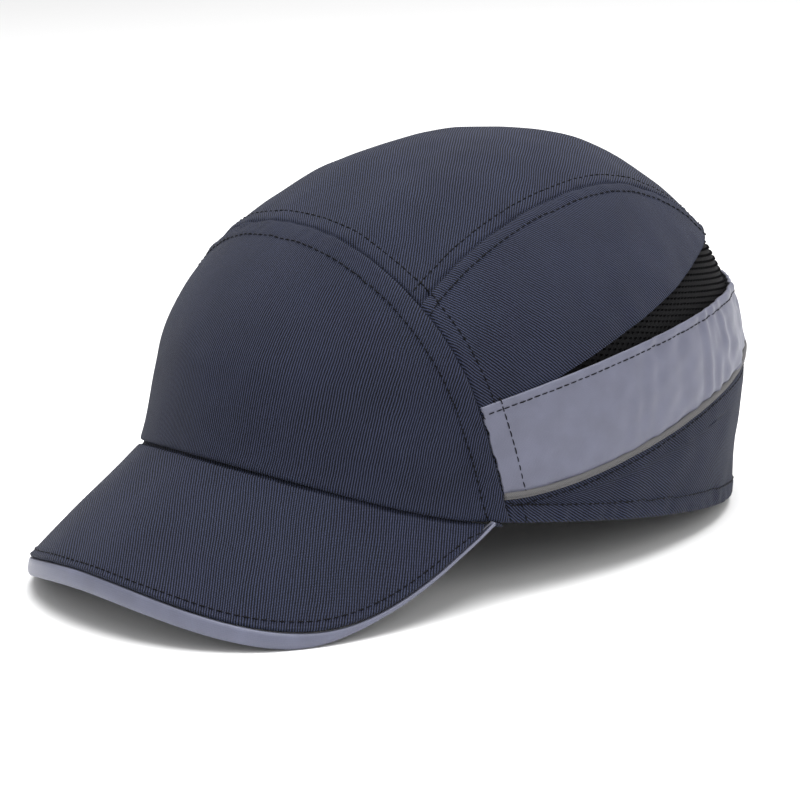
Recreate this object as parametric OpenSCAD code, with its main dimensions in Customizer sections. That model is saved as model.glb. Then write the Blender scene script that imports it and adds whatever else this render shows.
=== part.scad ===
// Bump cap: a cloth cap with a short brim and a protective insert that slides out from below.
// Millimetres. +X is the wearer's left, -Y is the way the wearer faces, +Z is up.
// Bearings u run in degrees from the front (0) over the wearer's left (90) to the rear (180).
// Latitudes v run from -wall_deg at the rim, over 0 at the widest level, to 90 at the top.

/* [Crown] */
// Half width of the crown at its widest level
crown_half_w = 93; // [84:0.5:104]
// Reach of the crown ahead of the head's middle
crown_front = 132; // [118:1:146]
// Reach of the crown behind the head's middle
crown_rear = 112; // [100:1:126]
// Height of the dome above its widest level
dome_h = 92; // [80:1:110]
// Height of the wall from the rim to the widest level
wall_h = 42; // [35:1:51]
// How far the crown leans back for each millimetre of height
crown_lean = 0.11; // [0:0.01:0.2]
// Share by which the crown widens over 100 mm towards the front
front_widen = 0.04; // [0:0.01:0.08]
// How far the rear wall spreads out at its foot
rear_foot = 6; // [3:0.5:9]
// Roundness of the crown seen from the front, 2 is an ellipse
front_view_round = 2.03; // [1.9:0.01:2.3]
// Roundness of the crown seen from the side, 2 is an ellipse
side_view_round = 1.83; // [1.75:0.01:2.2]
// Thickness of the cloth
cloth_t = 1.2; // [0.8:0.1:1.6]
// Gap left where two cloth panels meet
seam_gap = 0.5; // [0.3:0.1:0.8]

/* [Panel seams] */
// Depth of the arch seam at the rim, measured back from the head's middle
arch_foot = -53; // [-60:1:-46]
// Forward slope of the arch seam
arch_slope = 0.307; // [0.25:0.001:0.36]
// Forward bend of the arch seam over 100 mm of height
arch_bend = 0.115; // [0.05:0.005:0.2]
// Half width of the crown panel
crown_panel_half = 53; // [46:0.5:60]
// How much wider the crown panel is in front than on top
crown_panel_spread = 6.5; // [0:0.5:9]
// Height of the crown panel's rear edge
crown_panel_rear_z = 100; // [92:1:106]
// Height of the band's upper edge at the arch seam
band_top_front = 40; // [36:1:44]
// Height of the band's upper edge at the rear
band_top_rear = 86; // [80:1:90]
// Height of the band's lower edge at the arch seam
band_low_front = 10.5; // [8:0.5:16]
// Height of the band's lower edge at the rear
band_low_rear = 68; // [62:1:74]
// Bearing at which the mesh starts on the band
mesh_start = 60; // [56:1:70]
// Radius of the piping under the band
piping_r = 1.3; // [1:0.1:1.6]

/* [Rear opening and adjuster] */
// Half width of the rear opening at the rim
opening_half_w = 48; // [44:1:54]
// Height of the rear opening
opening_h = 50; // [47:1:56]
// Width of the binding around the opening
binding_w = 6; // [4:0.5:8]
// Width of the adjuster strap
strap_w = 20; // [14:1:22]
// Height of the strap's middle above the rim
strap_z = 15; // [14.5:0.5:17]
// Thickness of the strap webbing
strap_t = 1.2; // [1:0.1:1.6]
// Radius of the buckle's round bars
bar_r = 1.5; // [1:0.1:2]
// Distance between the buckle's bars
bar_pitch = 13; // [10:0.5:15]
// Sideways place of the bar that the strap turns around
strap_bar_x = -13; // [-16:0.5:-8]
// Length of the loose strap tail
tail_l = 42; // [30:1:50]
// Play of webbing around a bar
bar_play = 0.4; // [0.2:0.1:0.5]

/* [Brim] */
// Half width of the brim at its ends
brim_half_w = 88.5; // [80:0.5:100]
// How far the brim's tip reaches ahead of its ends
brim_reach = 128.5; // [110:0.5:145]
// Depth of the brim's ends, measured back from the head's middle
brim_ends_y = -43.5; // [-47:0.5:-40]
// Height of the brim seam at its middle above the rim
brim_rise = 11.7; // [9:0.1:14]
// Slope of the brim where it leaves the crown
brim_slope = 0.8; // [0.7:0.01:0.9]
// How far the tip lifts out of that slope
brim_lift = 13.4; // [9:0.1:16]
// How far the brim's sides bow down at its half width
brim_bow = 64; // [56:0.5:70]
// Thickness of the brim's stiff board
board_t = 2.2; // [1.5:0.1:3]
// Play between the board and its cloth covers
board_gap = 0.4; // [0.2:0.1:0.6]
// Distance of the board from the brim's edge
board_inset = 3; // [2:0.5:5]
// Height of the edge trim at the brim's tip
trim_h = 6.2; // [5.5:0.1:9]
// Thickness of the edge trim
trim_t = 1.6; // [1.2:0.1:2.4]

/* [Sweatband and tapes] */
// Height of the sweatband
sweatband_h = 30; // [24:1:34]
// Thickness of the sweatband
sweatband_t = 3; // [2:0.5:4]
// Bearing at which the sweatband ends beside the opening
sweatband_end = 145; // [138:1:147]
// Gap between the cloth and what lies inside it
lining_gap = 0.4; // [0.3:0.1:0.6]
// Width of the tapes over the inside seams
tape_w = 14; // [10:1:18]
// Thickness of the tapes
tape_t = 0.6; // [0.4:0.1:0.8]

/* [Protective insert] */
// Thickness of the hard shell
shell_t = 2.4; // [2:0.1:3]
// Gap between the sweatband and the shell
shell_gap = 0.5; // [0.4:0.1:0.8]
// Height of the shell's lower edge at the front and sides
shell_low_z = 21; // [18:1:26]
// How much higher the shell's edge is at the rear
shell_rear_rise = 34; // [26:1:40]
// Thickness of the foam pads
pad_t = 5; // [3:0.5:6]
// Gap between the shell and its pads
pad_gap = 0.7; // [0.5:0.1:0.9]

/* [Hidden] */

// Degrees of latitude given to the wall, so that steps on wall and dome are alike
wall_deg = 22;
// Layers from the outside in, as depths below the outside of the cap
lining_depth = cloth_t + lining_gap;
shell_depth = lining_depth + sweatband_t + shell_gap;
pad_depth = shell_depth + shell_t + pad_gap;
// Latitude at which the front panel's side edges turn into its top edge
arch_split = 22;
// Steps up a side panel
row_steps = 10;

navy = [0.19, 0.22, 0.28];
reflective_grey = [0.47, 0.48, 0.56];
piping_grey = [0.45, 0.44, 0.44];
mesh_black = [0.04, 0.04, 0.05];
shell_black = [0.09, 0.09, 0.10];
foam_grey = [0.25, 0.26, 0.28];

// ---- Shape of the crown ----

function solve(f, low, high, left = 26) =
  let (mid = (low + high) / 2)
  left == 0 ? mid : f(mid) > 0 ? solve(f, low, mid, left - 1) : solve(f, mid, high, left - 1);

function reach(angle) = cos(angle) > 0 ? crown_front : crown_rear;

// Moves a point of the plain dome to where the lean, the wide front and the rear foot put it
function shaped(x, y, z) = [
  x * (1 - front_widen * y / 100),
  y * (y > 0 ? 1 + rear_foot / crown_rear * max(0, 1 - z / wall_h) : 1) + crown_lean * z,
  z];

function dome_r(u, v) =
  let (x = abs(sin(u)) * cos(v) / crown_half_w)
  let (y = abs(cos(u)) * cos(v) / reach(u))
  let (yz = pow(y, side_view_round) + pow(sin(v) / dome_h, side_view_round))
  pow(pow(x, front_view_round) + pow(yz, front_view_round / side_view_round), -1 / front_view_round);

// Point on the outside of the cap at a bearing and latitude
function skin(p) =
  let (u = p[0], v = p[1], up = max(v, 0), r = dome_r(u, up))
  shaped(r * cos(up) * sin(u), -r * cos(up) * cos(u),
    wall_h + (v < 0 ? wall_h * v / wall_deg : r * sin(up)));

// Bearing and latitude of the point that lies x to the side and at angle a over the head,
// 0 in front, 90 on top and 180 behind
function over(a, x) =
  let (yz = pow(abs(cos(a)) / reach(a), side_view_round) + pow(sin(a) / dome_h, side_view_round))
  let (left = max(0, 1 - pow(abs(x) / crown_half_w, front_view_round)))
  let (r = pow(left / pow(yz, front_view_round / side_view_round), 1 / front_view_round))
  [atan2(x, r * cos(a)), atan2(r * sin(a), norm([x, r * cos(a)]))];

// Latitude of a height on a bearing
function v_at(u, z) =
  z < wall_h ? wall_deg * (z / wall_h - 1)
  : solve(function (v) skin([u, v]).z - z, 0, 90);

// ---- Seam lines ----

// How far a point lies behind the arch seam shifted back by d
function behind_arch(p, d) = p.y - arch_foot - d + arch_slope * p.z + arch_bend * p.z * p.z / 100;

function arch_u(v, d = 0) = solve(function (u) behind_arch(skin([u, v]), d), 0, 100);

function arch_v(u, d = 0) = solve(function (v) behind_arch(skin([u, v]), d), -wall_deg, 85);

// Height of the brim seam, which rises in the middle
function brim_seam_z(u) = brim_rise * pow(max(0, 1 - pow(sin(u) / sin(50), 2)), 1.5);

function rim_v(u) = abs(u) < 50 ? v_at(u, brim_seam_z(u)) : -wall_deg;

function crown_seam_x(a) = crown_panel_half + crown_panel_spread * cos(a);

// Point of the crown seam at angle a, moved outwards by e
function crown_seam(a, e = 0) = over(a, crown_seam_x(a) + e);

// Angle over the head at which a line across the crown panel meets the arch, at share s
function panel_start(s, d = 0) =
  solve(function (a) behind_arch(skin(over(a, s * crown_seam_x(a))), d), 5, 100);

function panel_end(s, z) =
  solve(function (a) z - skin(over(a, s * crown_seam_x(a))).z, 90, 175);

// Bearing of the place on the rear wall that lies x to the wearer's left
function rear_u(x, v) = solve(function (u) x - skin([u, v]).x, 100, 180);

function share(u, from) = min(1, max(0, (u - from) / (180 - from)));

band_top_u = arch_u(v_at(48, band_top_front));
band_low_u = arch_u(v_at(55, band_low_front));

function band_top_z(u) =
  band_top_rear - (band_top_rear - band_top_front) * pow(1 - share(u, band_top_u), 2.2);

function band_low_z(u) =
  band_low_front + (band_low_rear - band_low_front) * pow(sin(90 * share(u, band_low_u)), 1.4);

// Rear corner of the side panel, where the crown seam ends
side_corner = crown_seam(panel_end(1, crown_panel_rear_z));

// Height of the edge between side panel and mesh, which goes on behind the crown panel
function mesh_top_z(u) =
  let (from = band_top_z(mesh_start))
  let (s = min(1, max(0, (u - mesh_start) / (side_corner[0] - mesh_start))))
  from + (crown_panel_rear_z - from) * (1 - pow(1 - s, 1.7));

// ---- Patches between four edge lines, and their solids ----

function mixed(a, b, s) = a * (1 - s) + b * s;

function steps(a, b, n) = [for (i = [0:n]) mixed(a, b, i / n)];

// Grid of points between the lines low and high, which run along, and start and end, across
function patch(low, high, start, end) =
  let (n = len(low) - 1, m = len(start) - 1)
  [for (j = [0:m]) [for (i = [0:n])
    let (s = i / n, t = j / m)
    mixed(low[i], high[i], t) + mixed(start[j], end[j], s)
      - mixed(mixed(low[0], low[n], s), mixed(high[0], high[n], s), t)]];

function on_skin(grid) = [for (row = grid) [for (p = row) skin(p)]];

function mirrored(grid) = [for (row = grid) [for (i = [len(row) - 1:-1:0]) [-row[i][0], row[i][1]]]];

function unit(v) = v / norm(v);

// Outward direction at each point of a grid whose rows run left and whose columns run up
function normals(g) =
  let (m = len(g) - 1, n = len(g[0]) - 1)
  [for (j = [0:m]) [for (i = [0:n])
    unit(cross(g[j][min(n, i + 1)] - g[j][max(0, i - 1)],
      g[min(m, j + 1)][i] - g[max(0, j - 1)][i]))]];

// Solid between two depths below a grid of points
module plate(grid, depth, t, directions = undef) {
  m = len(grid) - 1;
  n = len(grid[0]) - 1;
  out = is_undef(directions) ? normals(grid) : directions;
  count = (m + 1) * (n + 1);
  function at(j, i) = j * (n + 1) + i;
  near = [for (j = [0:m]) for (i = [0:n]) grid[j][i] - depth * out[j][i]];
  far = [for (j = [0:m]) for (i = [0:n]) grid[j][i] - (depth + t) * out[j][i]];
  faces = [
    for (j = [0:m - 1]) for (i = [0:n - 1]) each [
      [at(j, i), at(j + 1, i), at(j + 1, i + 1)],
      [at(j, i), at(j + 1, i + 1), at(j, i + 1)],
      [count + at(j, i), count + at(j + 1, i + 1), count + at(j + 1, i)],
      [count + at(j, i), count + at(j, i + 1), count + at(j + 1, i + 1)]],
    for (i = [0:n - 1]) each [
      [at(0, i), at(0, i + 1), count + at(0, i + 1)],
      [at(0, i), count + at(0, i + 1), count + at(0, i)],
      [at(m, i), count + at(m, i + 1), at(m, i + 1)],
      [at(m, i), count + at(m, i), count + at(m, i + 1)]],
    for (j = [0:m - 1]) each [
      [at(j, 0), count + at(j + 1, 0), at(j + 1, 0)],
      [at(j, 0), count + at(j, 0), count + at(j + 1, 0)],
      [at(j, n), at(j + 1, n), count + at(j + 1, n)],
      [at(j, n), count + at(j + 1, n), count + at(j, n)]]];
  polyhedron(concat(near, far), faces, convexity = 6);
}

// Tube along a row of points, with a fixed upright section direction
module cord_along(points, r, sides = 8) {
  n = len(points) - 1;
  rings = [for (k = [0:n])
    let (along = unit(points[min(n, k + 1)] - points[max(0, k - 1)]))
    let (side = unit(cross(along, [0, 0, 1])), up = cross(side, along))
    for (q = [0:sides - 1]) points[k] + r * (cos(360 * q / sides) * side + sin(360 * q / sides) * up)];
  faces = [
    [for (q = [0:sides - 1]) q],
    [for (q = [sides - 1:-1:0]) n * sides + q],
    for (k = [0:n - 1]) for (q = [0:sides - 1]) let (w = (q + 1) % sides) each [
      [k * sides + q, (k + 1) * sides + q, (k + 1) * sides + w],
      [k * sides + q, (k + 1) * sides + w, k * sides + w]]];
  polyhedron(rings, faces, convexity = 6);
}

// ---- Brim surface ----

function power(base, e) = sign(base) * pow(abs(base), e);

// Plan of the brim's edge, s from -1 on the wearer's right to 1 on the left, inset by i
function brim_edge(s, i = 0) =
  let (f = 90 * s * 0.99)
  [(brim_half_w - i) * power(sin(f), 0.945), brim_ends_y - (brim_reach - i) * pow(cos(f), 0.576)];

function brim_height(p) =
  let (ahead = p.y + crown_front)
  brim_rise - 3 + brim_slope * ahead - brim_lift * pow(max(0, -ahead) / 64, 2)
    - brim_bow * (0.83 * pow(p.x / brim_half_w, 2) + 0.17 * pow(p.x / brim_half_w, 4));

// Bearing of the arch seam at the rim, where the brim ends
brim_end_u = arch_u(-wall_deg);

// Point of the brim's top, t from 0 at the crown to 1 at the edge
function brim_point(s, t, i = 0) =
  let (u = brim_end_u * s)
  let (root = skin([u, rim_v(u)]), edge = brim_edge(s, i))
  let (plan = mixed([root.x, root.y] * 1.005, edge, t))
  [plan.x, plan.y, brim_height(plan) + (root.z - brim_height(root)) * pow(1 - t, 2)];

// Points of a layer of the brim that is inset by i and stops short of the brim's ends
function brim_grid(i, ends, n = 44, m = 8) =
  [for (j = [m:-1:0]) [for (k = [0:n]) brim_point(ends * (2 * k / n - 1), j / m, i)]];

function brim_up(p) =
  unit([brim_height(p) - brim_height(p + [1, 0, 0]), brim_height(p) - brim_height(p + [0, 1, 0]), 1]);

module brim_layer(i, ends, depth, t) {
  grid = brim_grid(i, ends);
  plate(grid, depth, t, [for (row = grid) [for (p = row) brim_up(p)]]);
}

// ---- How the cap stands: on the brim's low sides and on the foot of the rear opening ----

rear_rest = skin([rear_u(opening_half_w - binding_w, -wall_deg), -wall_deg]);

function trim_height(s) = 1.6 + (trim_h - 1.6) * pow(cos(88 * s), 0.4);

function trim_foot(s) = brim_point(s, 1) - [0, 0, cloth_t + trim_height(s)];

rest_tilt = max([for (k = [0:0.02:0.9])
  let (p = trim_foot(k)) atan((rear_rest.z - p.z) / (rear_rest.y - p.y))]);
brim_tip = trim_foot(0);
rear_end = skin([180, v_at(180, band_low_z(180))]);
// Middle of the whole length, and height of the rim's middle above the ground
middle_y = ((rear_end.y + brim_tip.y) * cos(rest_tilt) + (rear_end.z + brim_tip.z) * sin(rest_tilt)) / 2;
stand_z = rear_rest.y * sin(rest_tilt) - rear_rest.z * cos(rest_tilt);

module standing() {
  translate([0, -middle_y, stand_z]) rotate([-rest_tilt, 0, 0]) children();
}

// ---- Cloth panels ----

half_gap = seam_gap / 2;

module front_panel() {
  foot_u = arch_u(-wall_deg, -half_gap);
  top_u = arch_u(arch_split, -half_gap);
  low = [for (u = steps(-foot_u, foot_u, 24)) [u, rim_v(u)]];
  high = [for (u = steps(-top_u, top_u, 24)) [u, arch_v(abs(u), -half_gap)]];
  start = [for (v = steps(-wall_deg, arch_split, 12)) [-arch_u(v, -half_gap), v]];
  end = [for (p = start) [-p[0], p[1]]];
  color(navy) standing() plate(on_skin(patch(low, high, start, end)), 0, cloth_t);
}

module crown_panel() {
  // worked out as angle over the head and share of the width, so that it runs over the top
  front = half_gap + 0.1;
  grid = [for (j = [0:16]) [for (i = [0:20])
    let (s = i / 10 - 1, a = mixed(panel_start(s, front), panel_end(s, crown_panel_rear_z + half_gap), j / 16))
    skin(over(a, s * (crown_seam_x(a) - half_gap)))]];
  color(navy) standing() plate(grid, 0, cloth_t);
}

// Grid of the wearer's left side panel
function side_grid() =
  let (edge_u = arch_u(v_at(band_top_u, band_top_front), half_gap))
  let (end_u = side_corner[0] - 5)
  let (a0 = panel_start(1, half_gap + 0.2), a1 = panel_end(1, crown_panel_rear_z + 2))
  let (low = [for (u = steps(edge_u, end_u, 22))
    [u, v_at(u, (u < mesh_start ? band_top_z(u) : mesh_top_z(u)) + half_gap)]])
  let (high = [for (a = steps(a0, a1, 22)) crown_seam(a, half_gap)])
  let (start = [for (v = steps(low[0][1], high[0][1], row_steps)) [arch_u(v, half_gap), v]])
  patch(low, high, start, steps(low[22], high[22], row_steps));

module side_panel_left() {
  color(navy) standing() plate(on_skin(side_grid()), 0, cloth_t);
}

module side_panel_right() {
  color(navy) standing() plate(on_skin(mirrored(side_grid())), 0, cloth_t);
}

module rear_mesh() {
  from_u = mesh_start + 3;
  around = steps(from_u, 360 - from_u, 44);
  low = [for (u = around) [u, v_at(u, band_top_z(180 - abs(u - 180)) + half_gap)]];
  high = [for (u = around) [u, v_at(u, mesh_top_z(180 - abs(u - 180)) - half_gap)]];
  start = steps(low[0], high[0], 4);
  end = steps(low[44], high[44], 4);
  color(mesh_black) standing() plate(on_skin(patch(low, high, start, end)), 0, cloth_t);
}

function band_grid() =
  let (low_u = arch_u(v_at(band_low_u, band_low_front), half_gap))
  let (top_u = arch_u(v_at(band_top_u, band_top_front), half_gap))
  let (low = [for (u = steps(low_u, 179.8, 26)) [u, v_at(u, band_low_z(u) + half_gap)]])
  let (high = [for (u = steps(top_u, 179.8, 26)) [u, v_at(u, band_top_z(u) - half_gap)]])
  let (start = [for (v = steps(low[0][1], high[0][1], 4)) [arch_u(v, half_gap), v]])
  patch(low, high, start, steps(low[26], high[26], 4));

module reflective_band_left() {
  color(reflective_grey) standing() plate(on_skin(band_grid()), 0, cloth_t);
}

module reflective_band_right() {
  color(reflective_grey) standing() plate(on_skin(mirrored(band_grid())), 0, cloth_t);
}

module piping(side) {
  from_u = arch_u(v_at(band_low_u, band_low_front), half_gap) + 1;
  points = [for (u = steps(from_u, 179, 44))
    let (p = skin([u, v_at(u, band_low_z(u) - piping_r - 0.1)])) [side * p.x, p.y, p.z]];
  color(piping_grey) standing() cord_along(points, piping_r);
}

module piping_left() {
  piping(1);
}

module piping_right() {
  piping(-1);
}

// Point on the edge of the rear opening, f from 0 at the rim to 90 at its top
function opening_edge(f, in = 0) =
  let (v = v_at(180, (opening_h - in) * sin(f)))
  [rear_u((opening_half_w - in) * cos(f), v), v];

function lower_grid() =
  let (drop = 2 * piping_r + 0.4)
  let (top_u = arch_u(v_at(band_low_u, band_low_front - drop), half_gap))
  let (low_u = arch_u(-wall_deg, half_gap))
  let (rise = [for (f = [0:10:90]) opening_edge(f)])
  let (low = [for (u = steps(low_u, rise[0][0], 24)) [u, -wall_deg]])
  let (top_end = [179.8, v_at(179.8, band_low_rear - drop)])
  let (high = [for (u = steps(top_u, 179.8, 24)) [u, v_at(u, band_low_z(u) - drop)]])
  let (end = concat([for (p = rise) [min(p[0], 179.8), p[1]]],
    [for (s = [1:3]) mixed([179.8, rise[9][1]], top_end, s / 3)]))
  let (start = [for (v = steps(-wall_deg, high[0][1], 12)) [arch_u(v, half_gap), v]])
  patch(low, high, start, end);

module lower_panel_left() {
  color(navy) standing() plate(on_skin(lower_grid()), 0, cloth_t);
}

module lower_panel_right() {
  color(navy) standing() plate(on_skin(mirrored(lower_grid())), 0, cloth_t);
}

module opening_binding() {
  function half(in) = [for (f = [0:10:80]) opening_edge(f, in)];
  function whole(in) = let (h = half(in)) concat(h, [opening_edge(90, in)],
    [for (k = [8:-1:0]) [360 - h[k][0], h[k][1]]]);
  outer = whole(seam_gap);
  inner = whole(binding_w);
  grid = patch(inner, outer, steps(inner[0], outer[0], 2), steps(inner[18], outer[18], 2));
  color(navy) standing() plate(on_skin(grid), 0, cloth_t);
}

// ---- Inside of the cloth cap ----

module sweatband() {
  around = steps(-sweatband_end, sweatband_end, 60);
  low = [for (u = around) [u, rim_v(u) + 0.3]];
  high = [for (u = around) [u, rim_v(u) + wall_deg * sweatband_h / wall_h]];
  grid = patch(low, high, steps(low[0], high[0], 3), steps(low[60], high[60], 3));
  color(shell_black) standing() plate(on_skin(grid), lining_depth, sweatband_t);
}

module arch_tape() {
  from_v = v_at(50, sweatband_h + 3);
  function line(d) = let (up = [for (v = steps(from_v, arch_split, 6)) [arch_u(v, d), v]])
    let (last = up[6][0])
    concat([for (p = up) [-p[0], p[1]]], [for (u = steps(-last * 0.86, last * 0.86, 12)) [u, arch_v(abs(u), d)]],
      [for (k = [6:-1:0]) up[k]]);
  front = line(-tape_w / 2);
  rear = line(tape_w / 2);
  last = len(front) - 1;
  grid = patch(front, rear, steps(front[0], rear[0], 2), steps(front[last], rear[last], 2));
  color(shell_black) standing() plate(on_skin(grid), lining_depth, tape_t);
}

module crown_tape(side) {
  from_a = panel_start(1, tape_w / 2 + 5.5);
  to_a = panel_end(1, crown_panel_rear_z + 1);
  low = [for (a = steps(from_a, to_a, 16)) crown_seam(a, tape_w / 2)];
  high = [for (a = steps(from_a, to_a, 16)) crown_seam(a, -tape_w / 2)];
  grid = patch(low, high, steps(low[0], high[0], 2), steps(low[16], high[16], 2));
  color(shell_black) standing()
    plate(on_skin(side > 0 ? grid : mirrored(grid)), lining_depth, tape_t);
}

module crown_tape_left() {
  crown_tape(1);
}

module crown_tape_right() {
  crown_tape(-1);
}

// ---- Brim ----

module brim_top_cover() {
  color(navy) standing() brim_layer(0, 0.965, 0, cloth_t);
}

module brim_board() {
  color("dimgray") standing() brim_layer(board_inset, 0.82, cloth_t + board_gap, board_t);
}

module brim_under_cover() {
  color(navy) standing() brim_layer(trim_t + 0.4, 0.95, cloth_t + board_t + 2 * board_gap, cloth_t);
}

module brim_edge_trim() {
  n = 40;
  grid_edge = [for (k = [0:n]) brim_point(1.96 * k / n - 0.98, 1)];
  out = [for (k = [0:n]) unit(cross(grid_edge[min(n, k + 1)] - grid_edge[max(0, k - 1)], [0, 0, 1]))];
  function section(k) = let (top = grid_edge[k] - [0, 0, cloth_t + 0.15], h = trim_height(1.96 * k / n - 0.98)) [
    top, top - [0, 0, h], top - [0, 0, h] - trim_t * out[k], top - trim_t * out[k]];
  points = [for (k = [0:n]) each section(k)];
  faces = [
    [3, 2, 1, 0],
    [for (q = [0:3]) 4 * n + q],
    for (k = [0:n - 1]) for (q = [0:3]) let (w = (q + 1) % 4) each [
      [4 * k + q, 4 * k + w, 4 * k + 4 + w],
      [4 * k + q, 4 * k + 4 + w, 4 * k + 4 + q]]];
  color(reflective_grey) standing() polyhedron(points, faces, convexity = 6);
}

// ---- Adjuster behind the rear opening ----

strap_low = strap_z - strap_w / 2;
strap_high = strap_z + strap_w / 2;
eye_r = bar_r + bar_play + strap_t;
// Depth of the bars' axes below the outside of the cap
bar_depth = 1;
rail_h = 2.4;

// Place in plan at a sideways distance x on the rear wall, at a depth below the outside
function rear_plan(x, depth) =
  let (v = v_at(180, strap_z), u = rear_u(abs(x), v), here = skin([u, v]))
  let (beside = skin([u - 0.5, v]), along = unit([beside.x - here.x, beside.y - here.y]))
  let (place = [here.x, here.y] - depth * [-along.y, along.x])
  [x < 0 ? -place.x : place.x, place.y];

strap_bar = rear_plan(strap_bar_x, bar_depth);
tab_bar = rear_plan(strap_bar_x - bar_pitch, bar_depth);

// Strip of webbing on the rear wall between two sideways places
module webbing(x0, x1, depth, t) {
  grid = [for (z = [strap_low, strap_z, strap_high]) [for (x = steps(x1, x0, 14))
    let (p = rear_plan(x, depth)) [p.x, p.y, z]]];
  plate(grid, 0, t);
}

module eye(at) {
  translate([at.x, at.y, strap_low]) difference() {
    cylinder(h = strap_w, r = eye_r, $fn = 48);
    translate([0, 0, -1]) cylinder(h = strap_w + 2, r = bar_r + bar_play, $fn = 48);
  }
}

module adjuster_strap() {
  color(navy) standing()
    webbing(strap_bar.x + eye_r + 0.4, opening_half_w + 9, lining_depth, strap_t);
}

module buckle_tab() {
  color(navy) standing() {
    eye(tab_bar);
    webbing(-opening_half_w - 9, tab_bar.x - bar_r - bar_play, lining_depth, strap_t);
  }
}

module buckle() {
  along = tab_bar - strap_bar;
  low = strap_low - rail_h - 0.2;
  high = strap_high + 0.2;
  color(shell_black) standing() {
    for (at = [strap_bar, tab_bar])
      translate([at.x, at.y, low]) cylinder(h = high + rail_h - low, r = bar_r, $fn = 48);
    for (z = [low, high])
      translate([strap_bar.x, strap_bar.y, z]) rotate([0, 0, atan2(along.y, along.x)])
        translate([-bar_r, -bar_r, 0]) cube([norm(along) + 2 * bar_r, 2 * bar_r, rail_h]);
  }
}

module strap_tail() {
  color(navy) standing() {
    eye(strap_bar);
    webbing(strap_bar.x + bar_r + bar_play, strap_bar.x + tail_l, bar_depth - eye_r + 0.1, strap_t);
  }
}

module hook_patch() {
  depth = bar_depth - eye_r + 0.2 + strap_t;
  color(shell_black) standing()
    webbing(strap_bar.x + tail_l - 28, strap_bar.x + tail_l - 3, depth, lining_depth - depth - 0.3);
}

// ---- Protective insert ----

function shell_low_v(u) =
  let (rear = pow(max(0, (abs(u) - 120) / 60), 1.5))
  v_at(u, shell_low_z + shell_rear_rise * min(1, rear * 1.6));

// Columns and rows of the shell's grid
shell_cols = 60;
shell_rows = 16;

module protective_shell() {
  top = shell_rows;
  n = shell_cols;
  count = (top + 1) * n;
  pts = on_skin([for (j = [0:top]) [for (i = [0:n - 1])
    let (u = 360 * i / n - 180) [u, mixed(shell_low_v(u), 86, j / top)]]]);
  out = [for (j = [0:top]) [for (i = [0:n - 1])
    unit(cross(pts[j][(i + 1) % n] - pts[j][(i + n - 1) % n], pts[min(top, j + 1)][i] - pts[max(0, j - 1)][i]))]];
  pole = skin([0, 90]);
  function at(j, i) = j * n + i % n;
  function layer(d) = [for (j = [0:top]) for (i = [0:n - 1]) pts[j][i] - d * out[j][i]];
  points = concat(layer(shell_depth), layer(shell_depth + shell_t),
    [pole - [0, 0, shell_depth], pole - [0, 0, shell_depth + shell_t]]);
  faces = [
    for (j = [0:top - 1]) for (i = [0:n - 1]) each [
      [at(j, i), at(j + 1, i), at(j + 1, i + 1)],
      [at(j, i), at(j + 1, i + 1), at(j, i + 1)],
      [count + at(j, i), count + at(j + 1, i + 1), count + at(j + 1, i)],
      [count + at(j, i), count + at(j, i + 1), count + at(j + 1, i + 1)]],
    for (i = [0:n - 1]) each [
      [at(0, i), at(0, i + 1), count + at(0, i + 1)],
      [at(0, i), count + at(0, i + 1), count + at(0, i)],
      [at(top, i), 2 * count, at(top, i + 1)],
      [count + at(top, i), count + at(top, i + 1), 2 * count + 1]]];
  color(shell_black) standing() polyhedron(points, faces, convexity = 8);
}

// Foam pad between two bearings and two latitudes
module pad(u0, u1, v0, v1, n, m) {
  grid = [for (v = steps(v0, v1, m)) [for (u = steps(u0, u1, n)) skin([u, v])]];
  color(foam_grey) standing() plate(grid, pad_depth, pad_t);
}

module front_pad() {
  pad(-38, 38, v_at(0, shell_low_z + 9), 24, 16, 6);
}

module side_pad_left() {
  pad(62, 116, v_at(90, shell_low_z + 9), 34, 10, 6);
}

module side_pad_right() {
  pad(-116, -62, v_at(90, shell_low_z + 9), 34, 10, 6);
}

module rear_pad() {
  pad(146, 214, v_at(180, shell_low_z + shell_rear_rise + 8), 38, 14, 4);
}

module top_pad() {
  grid = [for (a = steps(66, 118, 12)) [for (x = steps(-36, 36, 12)) skin(over(a, x))]];
  color(foam_grey) standing() plate(grid, pad_depth, pad_t);
}

front_panel();
crown_panel();
side_panel_left();
side_panel_right();
rear_mesh();
reflective_band_left();
reflective_band_right();
piping_left();
piping_right();
lower_panel_left();
lower_panel_right();
opening_binding();
sweatband();
arch_tape();
crown_tape_left();
crown_tape_right();
brim_top_cover();
brim_board();
brim_under_cover();
brim_edge_trim();
adjuster_strap();
buckle_tab();
buckle();
strap_tail();
hook_patch();
protective_shell();
front_pad();
top_pad();
side_pad_left();
side_pad_right();
rear_pad();
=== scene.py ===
# Bump cap: the look of the cap, its insert and its strap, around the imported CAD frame.
# Lengths are in millimetres up to the moment a piece is stood in the frame, which is in metres.
import math
import bpy
import numpy as np
from mathutils import Matrix, Vector
from mathutils.bvhtree import BVHTree


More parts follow.
